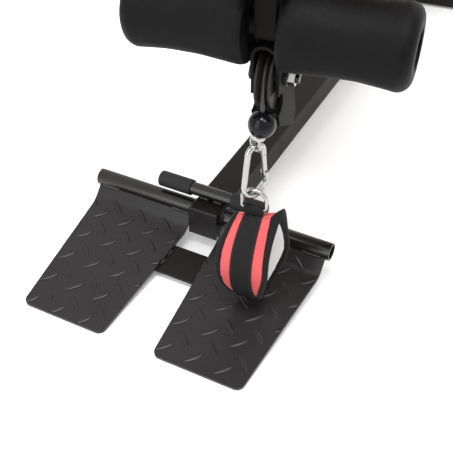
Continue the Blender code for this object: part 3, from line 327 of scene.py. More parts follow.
class ChairSizes(bpy.types.PropertyGroup):
    """Sizes of the surface details."""

    lozenge_length: bpy.props.FloatProperty(
        name="Lozenge length", description="Raised tread bar, end to end", default=0.029, min=0.005, max=0.06,
        subtype="DISTANCE", unit="LENGTH")
    lozenge_width: bpy.props.FloatProperty(
        name="Lozenge width", description="Raised tread bar, across", default=0.0075, min=0.002, max=0.02,
        subtype="DISTANCE", unit="LENGTH")
    lozenge_height: bpy.props.FloatProperty(
        name="Lozenge height", description="Rise of the tread above the plate", default=0.0017,
        min=0.0003, max=0.004, subtype="DISTANCE", unit="LENGTH")
    tread_across: bpy.props.FloatProperty(
        name="Tread pitch across", description="Spacing of like bars across the plate", default=0.0422,
        min=0.01, max=0.1, subtype="DISTANCE", unit="LENGTH")
    tread_down: bpy.props.FloatProperty(
        name="Tread pitch down", description="Spacing of like bars down the slope", default=0.0442,
        min=0.01, max=0.1, subtype="DISTANCE", unit="LENGTH")
    bead: bpy.props.FloatProperty(
        name="Weld bead", description="Radius of a weld bead", default=0.0022, min=0.0005, max=0.006,
        subtype="DISTANCE", unit="LENGTH")
    webbing_half: bpy.props.FloatProperty(
        name="Webbing half width", description="Half the width of the strap's outer webbing", default=0.0140,
        min=0.005, max=0.03, subtype="DISTANCE", unit="LENGTH")
    binding: bpy.props.FloatProperty(
        name="Binding", description="Half width of the strap's edge binding", default=0.0042,
        min=0.001, max=0.008, subtype="DISTANCE", unit="LENGTH")
    seat_length: bpy.props.FloatProperty(
        name="Seat length", description="Cushion, front to back", default=0.608, min=0.2, max=1.0,
        subtype="DISTANCE", unit="LENGTH")
    seat_width: bpy.props.FloatProperty(
        name="Seat width", description="Cushion, side to side", default=0.290, min=0.1, max=0.6,
        subtype="DISTANCE", unit="LENGTH")
    seat_thick: bpy.props.FloatProperty(
        name="Seat thickness", description="Cushion at its crown", default=0.055, min=0.02, max=0.15,
        subtype="DISTANCE", unit="LENGTH")


def colours():
    return bpy.context.scene.roman_chair_colours


def sizes():
    return bpy.context.scene.roman_chair_sizes


def start_group(name, inputs, outputs):
    """A node group with its sockets: the group, what comes in, what goes out and the place on the object."""
    group = bpy.data.node_groups.new(name, "ShaderNodeTree")
    for label, value in inputs.items():
        made = group.interface.new_socket(name=label, in_out="INPUT", socket_type="NodeSocketFloat")
        made.default_value = value
    for label in outputs:
        kind = "NodeSocketVector" if label == "Normal" else "NodeSocketFloat"
        group.interface.new_socket(name=label, in_out="OUTPUT", socket_type=kind)
    entry = group.nodes.new("NodeGroupInput")
    leave = group.nodes.new("NodeGroupOutput")
    place = group.nodes.new("ShaderNodeTexCoord")
    return group, entry.outputs, leave.inputs, place.outputs["Object"]


def product(group, first, second):
    """Multiplies two values in a group."""
    made = group.nodes.new("ShaderNodeMath")
    made.operation = "MULTIPLY"
    group.links.new(first, made.inputs[0])
    group.links.new(second, made.inputs[1])
    return made.outputs["Value"]


def ramp(tree, value, limits):
    """Maps a value from one range to another. Limits that aren't named stay at 0 and 1."""
    made = tree.nodes.new("ShaderNodeMapRange")
    for label, limit in limits.items():
        made.inputs[label].default_value = limit
    tree.links.new(value, made.inputs["Value"])
    return made.outputs["Result"]


def waves(group, place, scale, direction):
    """Bands across one direction of the object."""
    made = group.nodes.new("ShaderNodeTexWave")
    made.bands_direction = direction
    group.links.new(place, made.inputs["Vector"])
    group.links.new(scale, made.inputs["Scale"])
    return made


def speckle(group, place, scale, detail):
    """Noise on the object."""
    made = group.nodes.new("ShaderNodeTexNoise")
    made.inputs["Detail"].default_value = detail
    group.links.new(place, made.inputs["Vector"])
    group.links.new(scale, made.inputs["Scale"])
    return made.outputs["Fac"]


def grain_group(name):
    """Fine grain for bump, and a slow mottle for colour and roughness."""
    group, entry, leave, place = start_group(name, {"Scale": 800, "Mottle Scale": 14}, ("Height", "Mottle"))
    group.links.new(speckle(group, place, entry["Scale"], 3), leave["Height"])
    group.links.new(speckle(group, place, entry["Mottle Scale"], 5), leave["Mottle"])
    return group


def pore_group(name):
    """Open cells, for foam and for the grain of vinyl."""
    group, entry, leave, place = start_group(name, {"Scale": 900}, ("Height",))
    cells = group.nodes.new("ShaderNodeTexVoronoi")
    cells.feature = "DISTANCE_TO_EDGE"
    group.links.new(place, cells.inputs["Vector"])
    group.links.new(entry["Scale"], cells.inputs["Scale"])
    group.links.new(cells.outputs["Distance"], leave["Height"])
    return group


def weave_group(name):
    """Crossed threads, for cloth."""
    group, entry, leave, place = start_group(name, {"Scale": 400}, ("Height",))
    across = waves(group, place, entry["Scale"], "X")
    along = waves(group, place, entry["Scale"], "Z")
    group.links.new(product(group, across.outputs["Fac"], along.outputs["Fac"]), leave["Height"])
    return group


def twill_group(name):
    """Slanting ribs with threads across them, for webbing."""
    group, entry, leave, place = start_group(name, {"Scale": 120}, ("Height",))
    slant = group.nodes.new("ShaderNodeVectorRotate")
    slant.rotation_type = "Y_AXIS"
    slant.inputs["Angle"].default_value = math.radians(-12)
    group.links.new(place, slant.inputs["Vector"])
    ribs = waves(group, slant.outputs["Vector"], entry["Scale"], "Z")
    ribs.inputs["Distortion"].default_value = 1.2
    ribs.inputs["Detail Scale"].default_value = 3
    finer = group.nodes.new("ShaderNodeMath")
    finer.operation = "MULTIPLY"
    finer.inputs[1].default_value = 3.1
    group.links.new(entry["Scale"], finer.inputs[0])
    threads = waves(group, place, finer.outputs["Value"], "X")
    soft = ramp(group, threads.outputs["Fac"], {"To Min": 0.55})
    group.links.new(product(group, ribs.outputs["Fac"], soft), leave["Height"])
    return group


def edge_group(name):
    """Edges softened by a small radius, and a broken mask of where a coat wears along them."""
    group, entry, leave, place = start_group(name, {"Radius": 0.001, "Break Up": 160}, ("Wear", "Normal"))
    softened = group.nodes.new("ShaderNodeBevel")
    softened.samples = 4
    group.links.new(entry["Radius"], softened.inputs["Radius"])
    face = group.nodes.new("ShaderNodeNewGeometry")
    match = group.nodes.new("ShaderNodeVectorMath")
    match.operation = "DOT_PRODUCT"
    group.links.new(softened.outputs["Normal"], match.inputs[0])
    group.links.new(face.outputs["Normal"], match.inputs[1])
    edge = ramp(group, match.outputs["Value"], {"From Min": 0.99, "From Max": 0.8})
    broken = speckle(group, place, entry["Break Up"], 4)
    patch = ramp(group, broken, {"From Min": 0.42, "From Max": 0.68})
    group.links.new(product(group, edge, patch), leave["Wear"])
    group.links.new(softened.outputs["Normal"], leave["Normal"])
    return group


GROUPS = {
    "fine_grain": grain_group,
    "cell_pores": pore_group,
    "plain_weave": weave_group,
    "twill_ribs": twill_group,
    "edge_wear": edge_group,
}


def place_group(nodes, name, values):
    """Places a shared group in a material with its own values. The group itself is built once."""
    made = nodes.new("ShaderNodeGroup")
    made.node_tree = bpy.data.node_groups.get(name) or GROUPS[name](name)
    for label, value in values.items():
        made.inputs[label].default_value = value
    return made


def colour_mix(tree, share, low, high):
    """Mixes two colours by a share. Each one is a plain colour or a node's output."""
    made = tree.nodes.new("ShaderNodeMix")
    made.data_type = "RGBA"
    tree.links.new(share, made.inputs[MIX_SHARE])
    for number, colour in ((MIX_LOW, low), (MIX_HIGH, high)):
        if isinstance(colour, bpy.types.NodeSocket):
            tree.links.new(colour, made.inputs[number])
        else:
            made.inputs[number].default_value = (*colour, 1)
    return made.outputs[MIX_RESULT]


def scaled(colour, share):
    return [min(channel * share, 1) for channel in colour]


def finish(name, colour, roughness, metallic=0.0, scale=800, bump=0.1, depth=0.0002, spread=0.25,
           rough_spread=0.12, mottle=14, pattern="fine_grain", groove_painted_shade=0.0, sheen=0.0, specular=0.5,
           edge=0.0, worn=None):
    """A procedural finish: a slow mottle, a pattern for bump with painted shade in its grooves, and worn
    edges.
    """
    label = f"{name}_finish"
    made = bpy.data.materials.get(label)
    if made:
        return made
    made = bpy.data.materials.new(label)
    made.use_nodes = True
    tree = made.node_tree
    nodes, links = tree.nodes, tree.links
    shader = nodes["Principled BSDF"]
    shader.inputs["Metallic"].default_value = metallic
    shader.inputs["Specular IOR Level"].default_value = specular
    shader.inputs["Sheen Weight"].default_value = sheen
    grain = place_group(nodes, "fine_grain", {"Scale": scale, "Mottle Scale": mottle})
    source = grain
    if pattern != "fine_grain":
        source = place_group(nodes, pattern, {"Scale": scale})
    shade = colour_mix(tree, grain.outputs["Mottle"], scaled(colour, 1 - spread), scaled(colour, 1 + spread))
    # Painted shade: the colour is darkened in the pattern's low parts, the grooves of weave and twill and the
    # pores of foam, where shade would fall
    if groove_painted_shade:
        shade = colour_mix(tree, source.outputs["Height"], scaled(colour, 1 - groove_painted_shade), shade)
    smooth, rough = max(roughness - rough_spread, ROUGH_LEAST), min(roughness + rough_spread, 1)
    gloss = ramp(tree, grain.outputs["Mottle"], {"To Min": smooth, "To Max": rough})
    links.new(gloss, shader.inputs["Roughness"])
    relief = nodes.new("ShaderNodeBump")
    relief.inputs["Strength"].default_value = bump
    relief.inputs["Distance"].default_value = depth
    if edge:
        soft = place_group(nodes, "edge_wear", {"Radius": edge})
        links.new(soft.outputs["Normal"], relief.inputs["Normal"])
        shade = colour_mix(tree, soft.outputs["Wear"], shade, worn or scaled(colour, WORN_LIFT))
    links.new(shade, shader.inputs["Base Color"])
    links.new(source.outputs["Height"], relief.inputs["Height"])
    links.new(relief.outputs["Normal"], shader.inputs["Normal"])
    return made


def frame_paint():
    return finish("satin_black_paint", colours().paint, 0.5, scale=900, bump=0.12, depth=0.0001,
                  specular=0.12, edge=0.0012)


# Painted shade: the frame paint at 0.6 of its lightness on the drop arm, a darker copy that stands in for the
# shade on the arm's cheek
def arm_paint_painted_shade():
    return finish("arm_paint_painted_shade", scaled(colours().paint, 0.6), 0.6, scale=900, bump=0.12, depth=0.0001,
                  specular=0.07, edge=0.0012)


def gloss_paint():
    return finish("gloss_black_paint", colours().paint, 0.2, scale=500, bump=0.08, depth=0.0001,
                  rough_spread=0.06, specular=0.45, edge=0.0008)


def tread_paint():
    return finish("tread_paint", colours().tread, 0.32, scale=1100, bump=0.12, depth=0.0001,
                  rough_spread=0.05, specular=0.26, edge=0.0006)


def sleeve_rubber():
    return finish("sleeve_rubber", colours().rubber, 0.6, scale=1500, bump=0.25, depth=0.0001, specular=0.18,
                  edge=0.001)


def roller_foam():
    return finish("roller_foam", colours().foam, 0.55, scale=520, bump=0.7, depth=0.0006,
                  pattern="cell_pores", groove_painted_shade=0.45, specular=0.1)


def black_plastic():
    return finish("black_plastic", (0.020, 0.0182, 0.0188), 0.3, scale=1400, bump=0.1, depth=0.0001,
                  specular=0.35, edge=0.001)


def wheel_nylon():
    return finish("wheel_nylon", (0.015, 0.0135, 0.012), 0.5, scale=1200, bump=0.12, depth=0.0001,
                  specular=0.2, edge=0.0006)


def ball_plastic():
    return finish("ball_plastic", (0.004, 0.004, 0.0055), 0.13, scale=300, bump=0.03, depth=0.0001,
                  rough_spread=0.04, specular=0.16)


# Its colour is the zinc grey lowered evenly as painted reflection of a dark room
def zinc_plate():
    return finish("zinc_plate", colours().zinc_with_painted_shade, 0.16, metallic=1.0, scale=2200, bump=0.08, depth=0.0001,
                  spread=0.1, mottle=60, rough_spread=0.06, edge=0.0004, worn=(0.65, 0.65, 0.64))


def black_oxide():
    return finish("black_oxide", (0.03, 0.03, 0.032), 0.36, metallic=1.0, scale=1800, bump=0.1, depth=0.0001,
                  edge=0.0005, worn=(0.14, 0.14, 0.14))


def spring_steel():
    return finish("spring_steel", (0.35, 0.35, 0.36), 0.32, metallic=1.0, scale=2000, bump=0.08, depth=0.0001)


def bush_bronze():
    return finish("bush_bronze", (0.45, 0.29, 0.13), 0.4, metallic=1.0, scale=2000, bump=0.1, depth=0.0001)


def seat_vinyl():
    return finish("seat_vinyl", (0.011, 0.011, 0.012), 0.46, scale=420, bump=0.35, depth=0.0004,
                  pattern="cell_pores", specular=0.4)


def board_ply():
    return finish("board_ply", (0.36, 0.23, 0.12), 0.6, scale=260, bump=0.2, depth=0.0003, spread=0.35,
                  mottle=30, edge=0.001)


def strap_satin():
    return finish("strap_satin", colours().strap, 0.42, scale=1200, bump=0.25, depth=0.0002,
                  pattern="plain_weave", spread=0.1, sheen=0.2, specular=0.4)


def strap_black():
    return finish("strap_black", (0.010, 0.009, 0.009), 0.75, scale=420, bump=0.4, depth=0.0003,
                  pattern="plain_weave", groove_painted_shade=0.5, sheen=0.04, specular=0.15)


def strap_twill():
    return finish("strap_twill", (0.016, 0.015, 0.015), 0.7, scale=140, bump=0.8, depth=0.0005,
                  pattern="twill_ribs", groove_painted_shade=0.75, specular=0.15)


def strap_lining():
    return finish("strap_lining", colours().lining, 0.85, scale=700, bump=0.4, depth=0.0003,
                  pattern="plain_weave", spread=0.06, sheen=0.2)


def strap_thread():
    return finish("strap_thread", (0.025, 0.024, 0.024), 0.7, scale=1500, bump=0.2, depth=0.0002,
                  pattern="plain_weave")


def piece(name, bm, body, material, sharp=40):
    """Makes a finished, smooth-shaded piece that rides on a body."""
    mesh = bpy.data.meshes.new(name)
    bm.to_mesh(mesh)
    bm.free()
    mesh.shade_smooth()
    mesh.set_sharp_from_angle(angle=math.radians(sharp))
    mesh.materials.append(material)
    obj = bpy.data.objects.new(name, mesh)
    bpy.context.scene.collection.objects.link(obj)
    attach(obj, body)
    return obj


def angles(count):
    """Even steps round a full turn."""
    return [2 * math.pi * k / count for k in range(count)]


def band(bm, rings, cyclic=False):
    """Skins a list of vertex rings with quads."""
    pairs = list(zip(rings, rings[1:]))
    if cyclic:
        pairs.append((rings[-1], rings[0]))
    for first, second in pairs:
        count = len(first)
        for i in range(count):
            j = (i + 1) % count
            bm.faces.new((first[i], first[j], second[j], second[i]))


def sweep(bm, points, radius, sides=12, cyclic=False):
    """A round tube along points. radius is a number or a function of the point's index."""
    points = [Vector(point) for point in points]
    count = len(points)
    rings = []
    side = None
    for i, point in enumerate(points):
        ahead = points[(i + 1) % count] if cyclic or i < count - 1 else point
        behind = points[i - 1] if cyclic or i else point
        tangent = (ahead - behind).normalized()
        if side is None:
            side = tangent.orthogonal().normalized()
        side = (side - tangent * side.dot(tangent)).normalized()
        other = tangent.cross(side)
        size = radius(i) if callable(radius) else radius
        rings.append([bm.verts.new(point + size * (side * math.cos(t) + other * math.sin(t)))
                      for t in angles(sides)])
    band(bm, rings, cyclic)
    if not cyclic:
        bm.faces.new(rings[0][::-1])
        bm.faces.new(rings[-1])
    bmesh.ops.recalc_face_normals(bm, faces=bm.faces)


def lathe(bm, profile, place, steps=48, closed=False):
    """Turns (radius, height) points about Z, then places the shape. A zero radius becomes a tip."""
    rings = []
    for radius, height in profile:
        if radius < 1e-7:
            rings.append([bm.verts.new(place @ Vector((0, 0, height)))])
            continue
        rings.append([bm.verts.new(place @ Vector((radius * math.cos(t), radius * math.sin(t), height)))
                      for t in angles(steps)])
    pairs = list(zip(rings, rings[1:]))
    if closed:
        pairs.append((rings[-1], rings[0]))
    for first, second in pairs:
        for k in range(steps):
            j = (k + 1) % steps
            corners = [first[k % len(first)], first[j % len(first)],
                       second[j % len(second)], second[k % len(second)]]
            unique = list(dict.fromkeys(corners))
            if len(unique) > 2:
                bm.faces.new(unique)
    bmesh.ops.recalc_face_normals(bm, faces=bm.faces)


def arc(centre, radius, start, stop, count):
    """Points along an arc, from one angle to another."""
    steps = [start + (stop - start) * i / (count - 1) for i in range(count)]
    return [(centre[0] + radius * math.cos(t), centre[1] + radius * math.sin(t)) for t in steps]


def slope_way(slope):
    """The way up a slope that rises to the rear."""
    return Vector((0, math.cos(slope), math.sin(slope)))


def slope_normal(slope):
    """The way out of that slope."""
    return Vector((0, -math.sin(slope), math.cos(slope)))


def on_plate(x, down, rise):
    """A point on a foot plate's top: down its slope, round its bend, or up its flange if down is negative."""
    bend = Vector((0, TUBE.y - BEND_AHEAD, TUBE.z - BEND_DROP))
    if abs(down) >= BEND_REACH:
        slope = PLATE_SLOPE if down > 0 else FLANGE_SLOPE
        base = bend - down * slope_way(slope)
    else:
        share = (BEND_REACH - down) / (2 * BEND_REACH)
        slope = PLATE_SLOPE + (FLANGE_SLOPE - PLATE_SLOPE) * share
        foot = bend - BEND_REACH * slope_way(PLATE_SLOPE)
        centre = foot + BEND_RADIUS * slope_normal(PLATE_SLOPE)
        base = centre - BEND_RADIUS * slope_normal(slope)
    return FOOT_TURN @ (Vector((x, 0, 0)) + base + slope_normal(slope) * rise)


def flange_edge():
    """The upper edge of a plate's flange, where it meets the foot tube."""
    lift = slope_way(FLANGE_SLOPE)
    bend = Vector((0, -BEND_AHEAD, -BEND_DROP))
    under = bend.dot(slope_normal(FLANGE_SLOPE))
    reach = -math.sqrt(max(TUBE_RADIUS ** 2 - under ** 2, 0)) - bend.dot(lift)
    return TUBE + bend + lift * reach


def weld_bead(bm, points, radius):
    """A bead along points, with ripples and a slower drift in its width."""
    def width(i):
        ripple = BEAD_RIPPLE * math.sin(i * BEAD_RIPPLE_PITCH)
        drift = BEAD_DRIFT * math.sin(i * BEAD_DRIFT_PITCH)
        return radius * (1 + ripple + drift)
    sweep(bm, points, width, sides=BEAD_SIDES)


def line(first, last, step):
    """Points along a straight line, about a step apart."""
    first, last = Vector(first), Vector(last)
    count = max(int((last - first).length / step), 2)
    return [first.lerp(last, i / count) for i in range(count + 1)]


class ROMAN_OT_frame(bpy.types.Operator):
    """Gives the solid pieces their finishes."""

    bl_idname = "roman.frame"
    bl_label = "Frame finishes"

    def execute(self, context):
        slots = {item["node"]: item["material_slot"] for item in frame["record"]["subparts"]}
        by_slot = {
            "black_paint": frame_paint,
            "tread_paint": tread_paint,
            "sleeve_rubber": sleeve_rubber,
            "roller_foam": roller_foam,
            "black_plastic": black_plastic,
            "zinc_plate": zinc_plate,
            "spring_steel": spring_steel,
            "bush_bronze": bush_bronze,
            "seat_vinyl": seat_vinyl,
            "board_ply": board_ply,
            "cuff_cloth": strap_satin,
            "black_webbing": strap_black,
        }
        by_node = {
            "foot_tube": gloss_paint,
            "grip_bar": gloss_paint,
            "drop_arm": arm_paint_painted_shade,
            "pulley_bolt": black_oxide,
            "pulley_wheel": wheel_nylon,
            "guide_pulley": wheel_nylon,
        }
        for name, node in frame["nodes"].items():
            material = by_node.get(name, by_slot[slots[name]])()
            node.data.materials.clear()
            node.data.materials.append(material)
        return {"FINISHED"}


class ROMAN_OT_tread(bpy.types.Operator):
    """Builds both foot plates: a sheet with a rolled bend, and the crossed lozenges on it."""

    bl_idname = "roman.tread"
    bl_label = "Foot plates and tread"

    def execute(self, context):
        for name, side in (("left", -1), ("right", 1)):
            sheet = self.sheet(f"plate_sheet_{name}", side)
            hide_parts(f"foot_plate_{name}")
            bm = bmesh.new()
            self.fill(bm, side)
            piece(f"tread_{name}", bm, "foot_rail_arm", tread_paint(), sharp=60)
        return {"FINISHED"}

    def sheet(self, name, side):
        """The plate itself, from the flange's upper edge to the front edge with its round corners."""
        bend_steps, slope_steps, corner_steps, across_steps = 16, 12, 10, 6
        straight = PLATE_LENGTH - PLATE_CORNER - BEND_REACH
        bend = [BEND_REACH * (2 * k / bend_steps - 1) for k in range(bend_steps + 1)]
        slope = [BEND_REACH + straight * k / slope_steps for k in range(1, slope_steps + 1)]
        corner = [PLATE_LENGTH - PLATE_CORNER * (1 - math.sin(math.pi / 2 * k / corner_steps))
                  for k in range(1, corner_steps + 1)]
        bm = bmesh.new()
        rings = []
        for down in (-FLANGE_LENGTH, *bend, *slope, *corner):
            share = max(down, 0) / PLATE_LENGTH
            past = max(down - PLATE_LENGTH + PLATE_CORNER, 0)
            round_off = PLATE_CORNER - math.sqrt(max(PLATE_CORNER ** 2 - past ** 2, 0))
            inner = INNER_TOP + (INNER_LOW - INNER_TOP) * share + round_off
            outer = OUTER_TOP + (OUTER_LOW - OUTER_TOP) * share - round_off
            top = [(inner + (outer - inner) * k / across_steps, 0) for k in range(across_steps + 1)]
            low = [(x, -PLATE_THICK) for x, rise in reversed(top)]
            rings.append([bm.verts.new(on_plate(side * x, down, rise)) for x, rise in top + low])
        band(bm, rings)
        last = 2 * across_steps + 1
        for rim in (rings[0], rings[-1]):
            for k in range(across_steps):
                bm.faces.new((rim[k], rim[k + 1], rim[last - 1 - k], rim[last - k]))
        bmesh.ops.recalc_face_normals(bm, faces=bm.faces)
        return piece(name, bm, "foot_rail_arm", tread_paint(), sharp=40)

    def fill(self, bm, side):
        """Lays the two crossed sets of bars, then trims them to the plate's edges."""
        size = sizes()
        first = Vector(TREAD_FIRST[side])
        rows = int(PLATE_LENGTH / size.tread_down) + 2
        for row in range(-1, rows):
            for column in range(-TREAD_COLUMNS, TREAD_COLUMNS + 1):
                steep = first + Vector((column * size.tread_across, row * size.tread_down))
                flat = steep + Vector(FLAT_OFFSET)
                for spot, lean in ((steep, STEEP_LEAN), (flat, FLAT_LEAN)):
                    if spot.y > TREAD_TOP:
                        self.lozenge(bm, spot, Vector(lean).normalized())
        self.trim(bm, side)

    def trim(self, bm, side):
        """Cuts the bars off along the plate's sides, front edge, round corners and flange."""
        run = Vector((side * (INNER_LOW - INNER_TOP), PLATE_LENGTH)).normalized()
        inner = Vector((-side * run.y, side * run.x))
        run = Vector((side * (OUTER_LOW - OUTER_TOP), PLATE_LENGTH)).normalized()
        outer = Vector((side * run.y, -side * run.x))
        front = Vector((0, 1))
        inner_low = Vector((side * INNER_LOW, PLATE_LENGTH))
        outer_low = Vector((side * OUTER_LOW, PLATE_LENGTH))
        cuts = [(inner_low - inner * TREAD_MARGIN, inner), (outer_low - outer * TREAD_MARGIN, outer),
                (inner_low - front * TREAD_MARGIN, front),
                (Vector((0, TREAD_MARGIN - FLANGE_LENGTH)), -front)]
        for corner, way in ((inner_low, inner), (outer_low, outer)):
            share = PLATE_CORNER / (1 + way.dot(front))
            centre = corner - (way + front) * share
            for k in range(1, 6):
                facing = way.lerp(front, k / 6).normalized()
                cuts.append((centre + facing * (PLATE_CORNER - TREAD_MARGIN), facing))
        for point, way in cuts:
            geom = [*bm.verts, *bm.edges, *bm.faces]
            cut = bmesh.ops.bisect_plane(
                bm, geom=geom, plane_co=(*point, 0), plane_no=(*way, 0), clear_outer=True)
            edges = [item for item in cut["geom_cut"] if isinstance(item, bmesh.types.BMEdge)]
            bmesh.ops.holes_fill(bm, edges=edges)
        for vert in bm.verts:
            vert.co = on_plate(vert.co.x, vert.co.y, vert.co.z)
        bmesh.ops.recalc_face_normals(bm, faces=bm.faces)

    def lozenge(self, bm, spot, lean):
        """One raised bar on the flat pattern: X across, Y down the slope, Z its rise."""
        size = sizes()
        half = size.lozenge_length / 2
        across = Vector((-lean.y, lean.x))
        rings = []
        for shrink, rise in LOZENGE_RINGS:
            height = rise * size.lozenge_height if rise else LOZENGE_SUNK
            ring = []
            for t in angles(LOZENGE_SIDES):
                along = math.cos(t) * (half - (1 - shrink) * size.lozenge_width / 2)
                round_side = math.copysign(abs(math.sin(t)) ** LOZENGE_POINT, math.sin(t))
                wide = round_side * size.lozenge_width / 2 * shrink
                place = spot + lean * along + across * wide
                ring.append(bm.verts.new((place.x, place.y, height)))
            rings.append(ring)
        band(bm, rings)
        bm.faces.new(rings[-1])
        bm.faces.new(rings[0][::-1])


class ROMAN_OT_welds(bpy.types.Operator):
    """Lays the weld beads of the foot end and of the frame."""

    bl_idname = "roman.welds"
    bl_label = "Weld beads"

    def execute(self, context):
        self.foot_end()
        self.bench()
        return {"FINISHED"}

    def foot_end(self):
        """Beads at the strip, the grip bar, the foot tube and the plates' flanges."""
        bm = bmesh.new()
        for side in (-1, 1):
            self.strip(bm, side)
            self.bar(bm, side)
            self.tube(bm, side)
            self.flange(bm, side)
        piece("foot_end_welds", bm, "foot_rail_arm", gloss_paint(), sharp=60)

    def strip(self, bm, side):
        """Short beads that join a plate's inner edge to the strip under it."""
        lean = (INNER_LOW - INNER_TOP) / PLATE_LENGTH
        for shares in STRIP_WELDS:
            ends = []
            for share in shares:
                down = STRIP_START + STRIP_DEPTH * share
                edge = INNER_TOP + lean * down - STRIP_WELD_INSET
                ends.append(on_plate(side * edge, down, -PLATE_THICK))
            weld_bead(bm, line(*ends, WELD_STEP), sizes().bead)

    def bar(self, bm, side):
        """Beads along both sides of the grip bar, where it lies on the rail."""
        radius = sizes().bead
        height = RAIL_TOP + radius * BAR_WELD_RISE
        for y in (BAR_Y - BAR_RADIUS * BAR_WELD_SPREAD, BAR_Y + BAR_RADIUS * BAR_WELD_SPREAD):
            ends = [FOOT_TURN @ Vector((side * RAIL_HALF * share, y, height)) for share in BAR_WELD]
            weld_bead(bm, line(*ends, WELD_STEP), radius)

    def tube(self, bm, side):
        """A bead round the foot tube, where it comes out of the rail."""
        radius = sizes().bead
        reach = TUBE_RADIUS + radius * WELD_SUNK
        x = side * (RAIL_HALF + radius * WELD_SUNK)
        ring = [FOOT_TURN @ (TUBE + Vector((x, reach * math.cos(t), reach * math.sin(t))))
                for t in angles(96)]

        def width(i):
            ripple = BEAD_RIPPLE_ROUND * math.sin(i * BEAD_RIPPLE_PITCH)
            return radius * (1 + ripple)
        sweep(bm, ring, width, sides=BEAD_SIDES, cyclic=True)

    def flange(self, bm, side):
        """A short bead at each end of a plate's upper edge, under the foot tube."""
        edge = flange_edge()
        for span in FLANGE_WELDS:
            ends = [FOOT_TURN @ (edge + Vector((side * x, 0, 0))) for x in span]
            weld_bead(bm, line(*ends, WELD_STEP), sizes().bead)

    def bench(self):
        """Beads round the clevises, the post, the struts and the arm's neck."""
        inset = BENCH_WELD_INSET
        runs = []
        for node in ("clevis_upper", "clevis_lower"):
            low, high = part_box(node)
            for z in (low[2], high[2]):
                runs.append(((low[0] + inset, high[1], z), (high[0] - inset, high[1], z)))
        low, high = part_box("base_post")
        for z in (low[2], high[2]):
            for x in (low[0], high[0]):
                runs.append(((x, low[1] + inset, z), (x, high[1] - inset, z)))
        start, stop = STRUT_WELD
        for node in ("beam_strut_left", "beam_strut_right"):
            low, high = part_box(node)
            for x in (low[0], high[0]):
                runs.append(((x, low[1] + start, high[2]), (x, low[1] + stop, high[2])))
                runs.append(((x, high[1], low[2] + start), (x, high[1], low[2] + stop)))
        front, back = NECK_FRONT + NECK_WELD_INSET, NECK_BACK - NECK_WELD_INSET
        for x in (-NECK_HALF, NECK_HALF):
            runs.append(((x, front, NECK_TOP), (x, back, NECK_TOP)))
        bm = bmesh.new()
        for ends in runs:
            weld_bead(bm, line(*ends, BENCH_WELD_STEP), sizes().bead * BENCH_WELD_SHARE)
        piece("bench_welds", bm, "base", frame_paint(), sharp=60)


class ROMAN_OT_rollers(bpy.types.Operator):
    """Builds the two foam rollers."""

    bl_idname = "roman.rollers"
    bl_label = "Foam rollers"

    def execute(self, context):
        for name, way in (("left", -1), ("right", 1)):
            bm = bmesh.new()
            turn = Matrix.Translation(AXLE) @ Matrix.Rotation(way * math.pi / 2, 4, "Y")
            lathe(bm, self.profile(), turn, steps=72, closed=True)
            for vert in bm.verts:
                away = vert.co - AXLE
                spoke = Vector((0, away.y, away.z))
                if spoke.length > ROLLER_RECESS + 2 * ROLLER_CHAMFER:
                    dent = noise.noise(vert.co * ROLLER_DENT_SCALE)
                    vert.co += spoke.normalized() * ROLLER_DENT * dent
            foam = piece(f"roller_foam_{name}", bm, f"roller_{name}", roller_foam())
            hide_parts(f"foam_roller_{name}")
        return {"FINISHED"}

    def profile(self):
        """Down the outside from the outer end, then back along the bore."""
        middle = (ROLLER_INNER + ROLLER_OUTER) / 2
        span = (ROLLER_OUTER - ROLLER_INNER) / 2 - ROLLER_EDGE_OUTER
        edge = ROLLER_RADIUS - ROLLER_EDGE_OUTER
        shares = [0.9 - 0.1 * k for k in range(19)]
        waist = [(ROLLER_WAIST + (ROLLER_RADIUS - ROLLER_WAIST) * t * t, middle + t * span) for t in shares]
        outer = arc((edge, ROLLER_OUTER - ROLLER_EDGE_OUTER), ROLLER_EDGE_OUTER, math.pi / 2, 0, 11)
        inner = [(ROLLER_RADIUS - ROLLER_PRESSED * (1 - math.cos(t)),
                  ROLLER_INNER + ROLLER_EDGE * (1 - math.sin(t)))
                 for t in (math.pi / 2 * k / 8 for k in range(9))]
        return [(ROLLER_RECESS, ROLLER_OUTER - ROLLER_CHAMFER),
                (ROLLER_RECESS + ROLLER_CHAMFER, ROLLER_OUTER), *outer, *waist, *inner,
                (ROLLER_BORE + ROLLER_CHAMFER, ROLLER_INNER), (ROLLER_BORE, ROLLER_INNER + ROLLER_CHAMFER),
                (ROLLER_BORE, ROLLER_SEAT), (ROLLER_RECESS, ROLLER_SEAT)]


class ROMAN_OT_cable_end(bpy.types.Operator):
    """Builds the ball stop, and the crimped cup and eye under it."""

    bl_idname = "roman.cable_end"
    bl_label = "Cable end"

    def execute(self, context):
        bm = bmesh.new()
        rounds = [(BALL_RADIUS * math.cos(t), BALL_RADIUS * math.sin(t))
                  for t in (math.pi / 2 - math.pi * k / 28 for k in range(29))]
        lathe(bm, rounds, Matrix.Translation(BALL), steps=56)
        ball = piece("ball_stop", bm, "base", ball_plastic())
        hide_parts("cable_ball")
        bm = bmesh.new()
        lip = 0.0006
        flare = 0.0015
        dish = (CUP_RADIUS * 0.6, CUP_RIM * 0.35)
        profile = [(0, 0), dish, (CUP_RADIUS - lip, CUP_RIM),
                   (CUP_RADIUS, CUP_RIM - lip), (CUP_RADIUS, flare - CUP_HEIGHT),
                   (CUP_RADIUS - flare, -CUP_HEIGHT), (0, -CUP_HEIGHT)]
        lathe(bm, profile, Matrix.Translation(CUP_SEAT) @ Matrix.Rotation(CUP_TILT, 4, "Y"), steps=40)
        turn = Matrix.Translation(EYE) @ Matrix.Rotation(HOOK_TURN + math.pi / 2, 4, "Z")
        ring = [turn @ Vector((EYE_RADIUS * math.cos(t), 0, EYE_RADIUS * math.sin(t))) for t in angles(48)]
        sweep(bm, ring, EYE_WIRE, cyclic=True)
        eye = piece("eye_and_cup", bm, "base", zinc_plate())
        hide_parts("cable_eye")
        return {"FINISHED"}


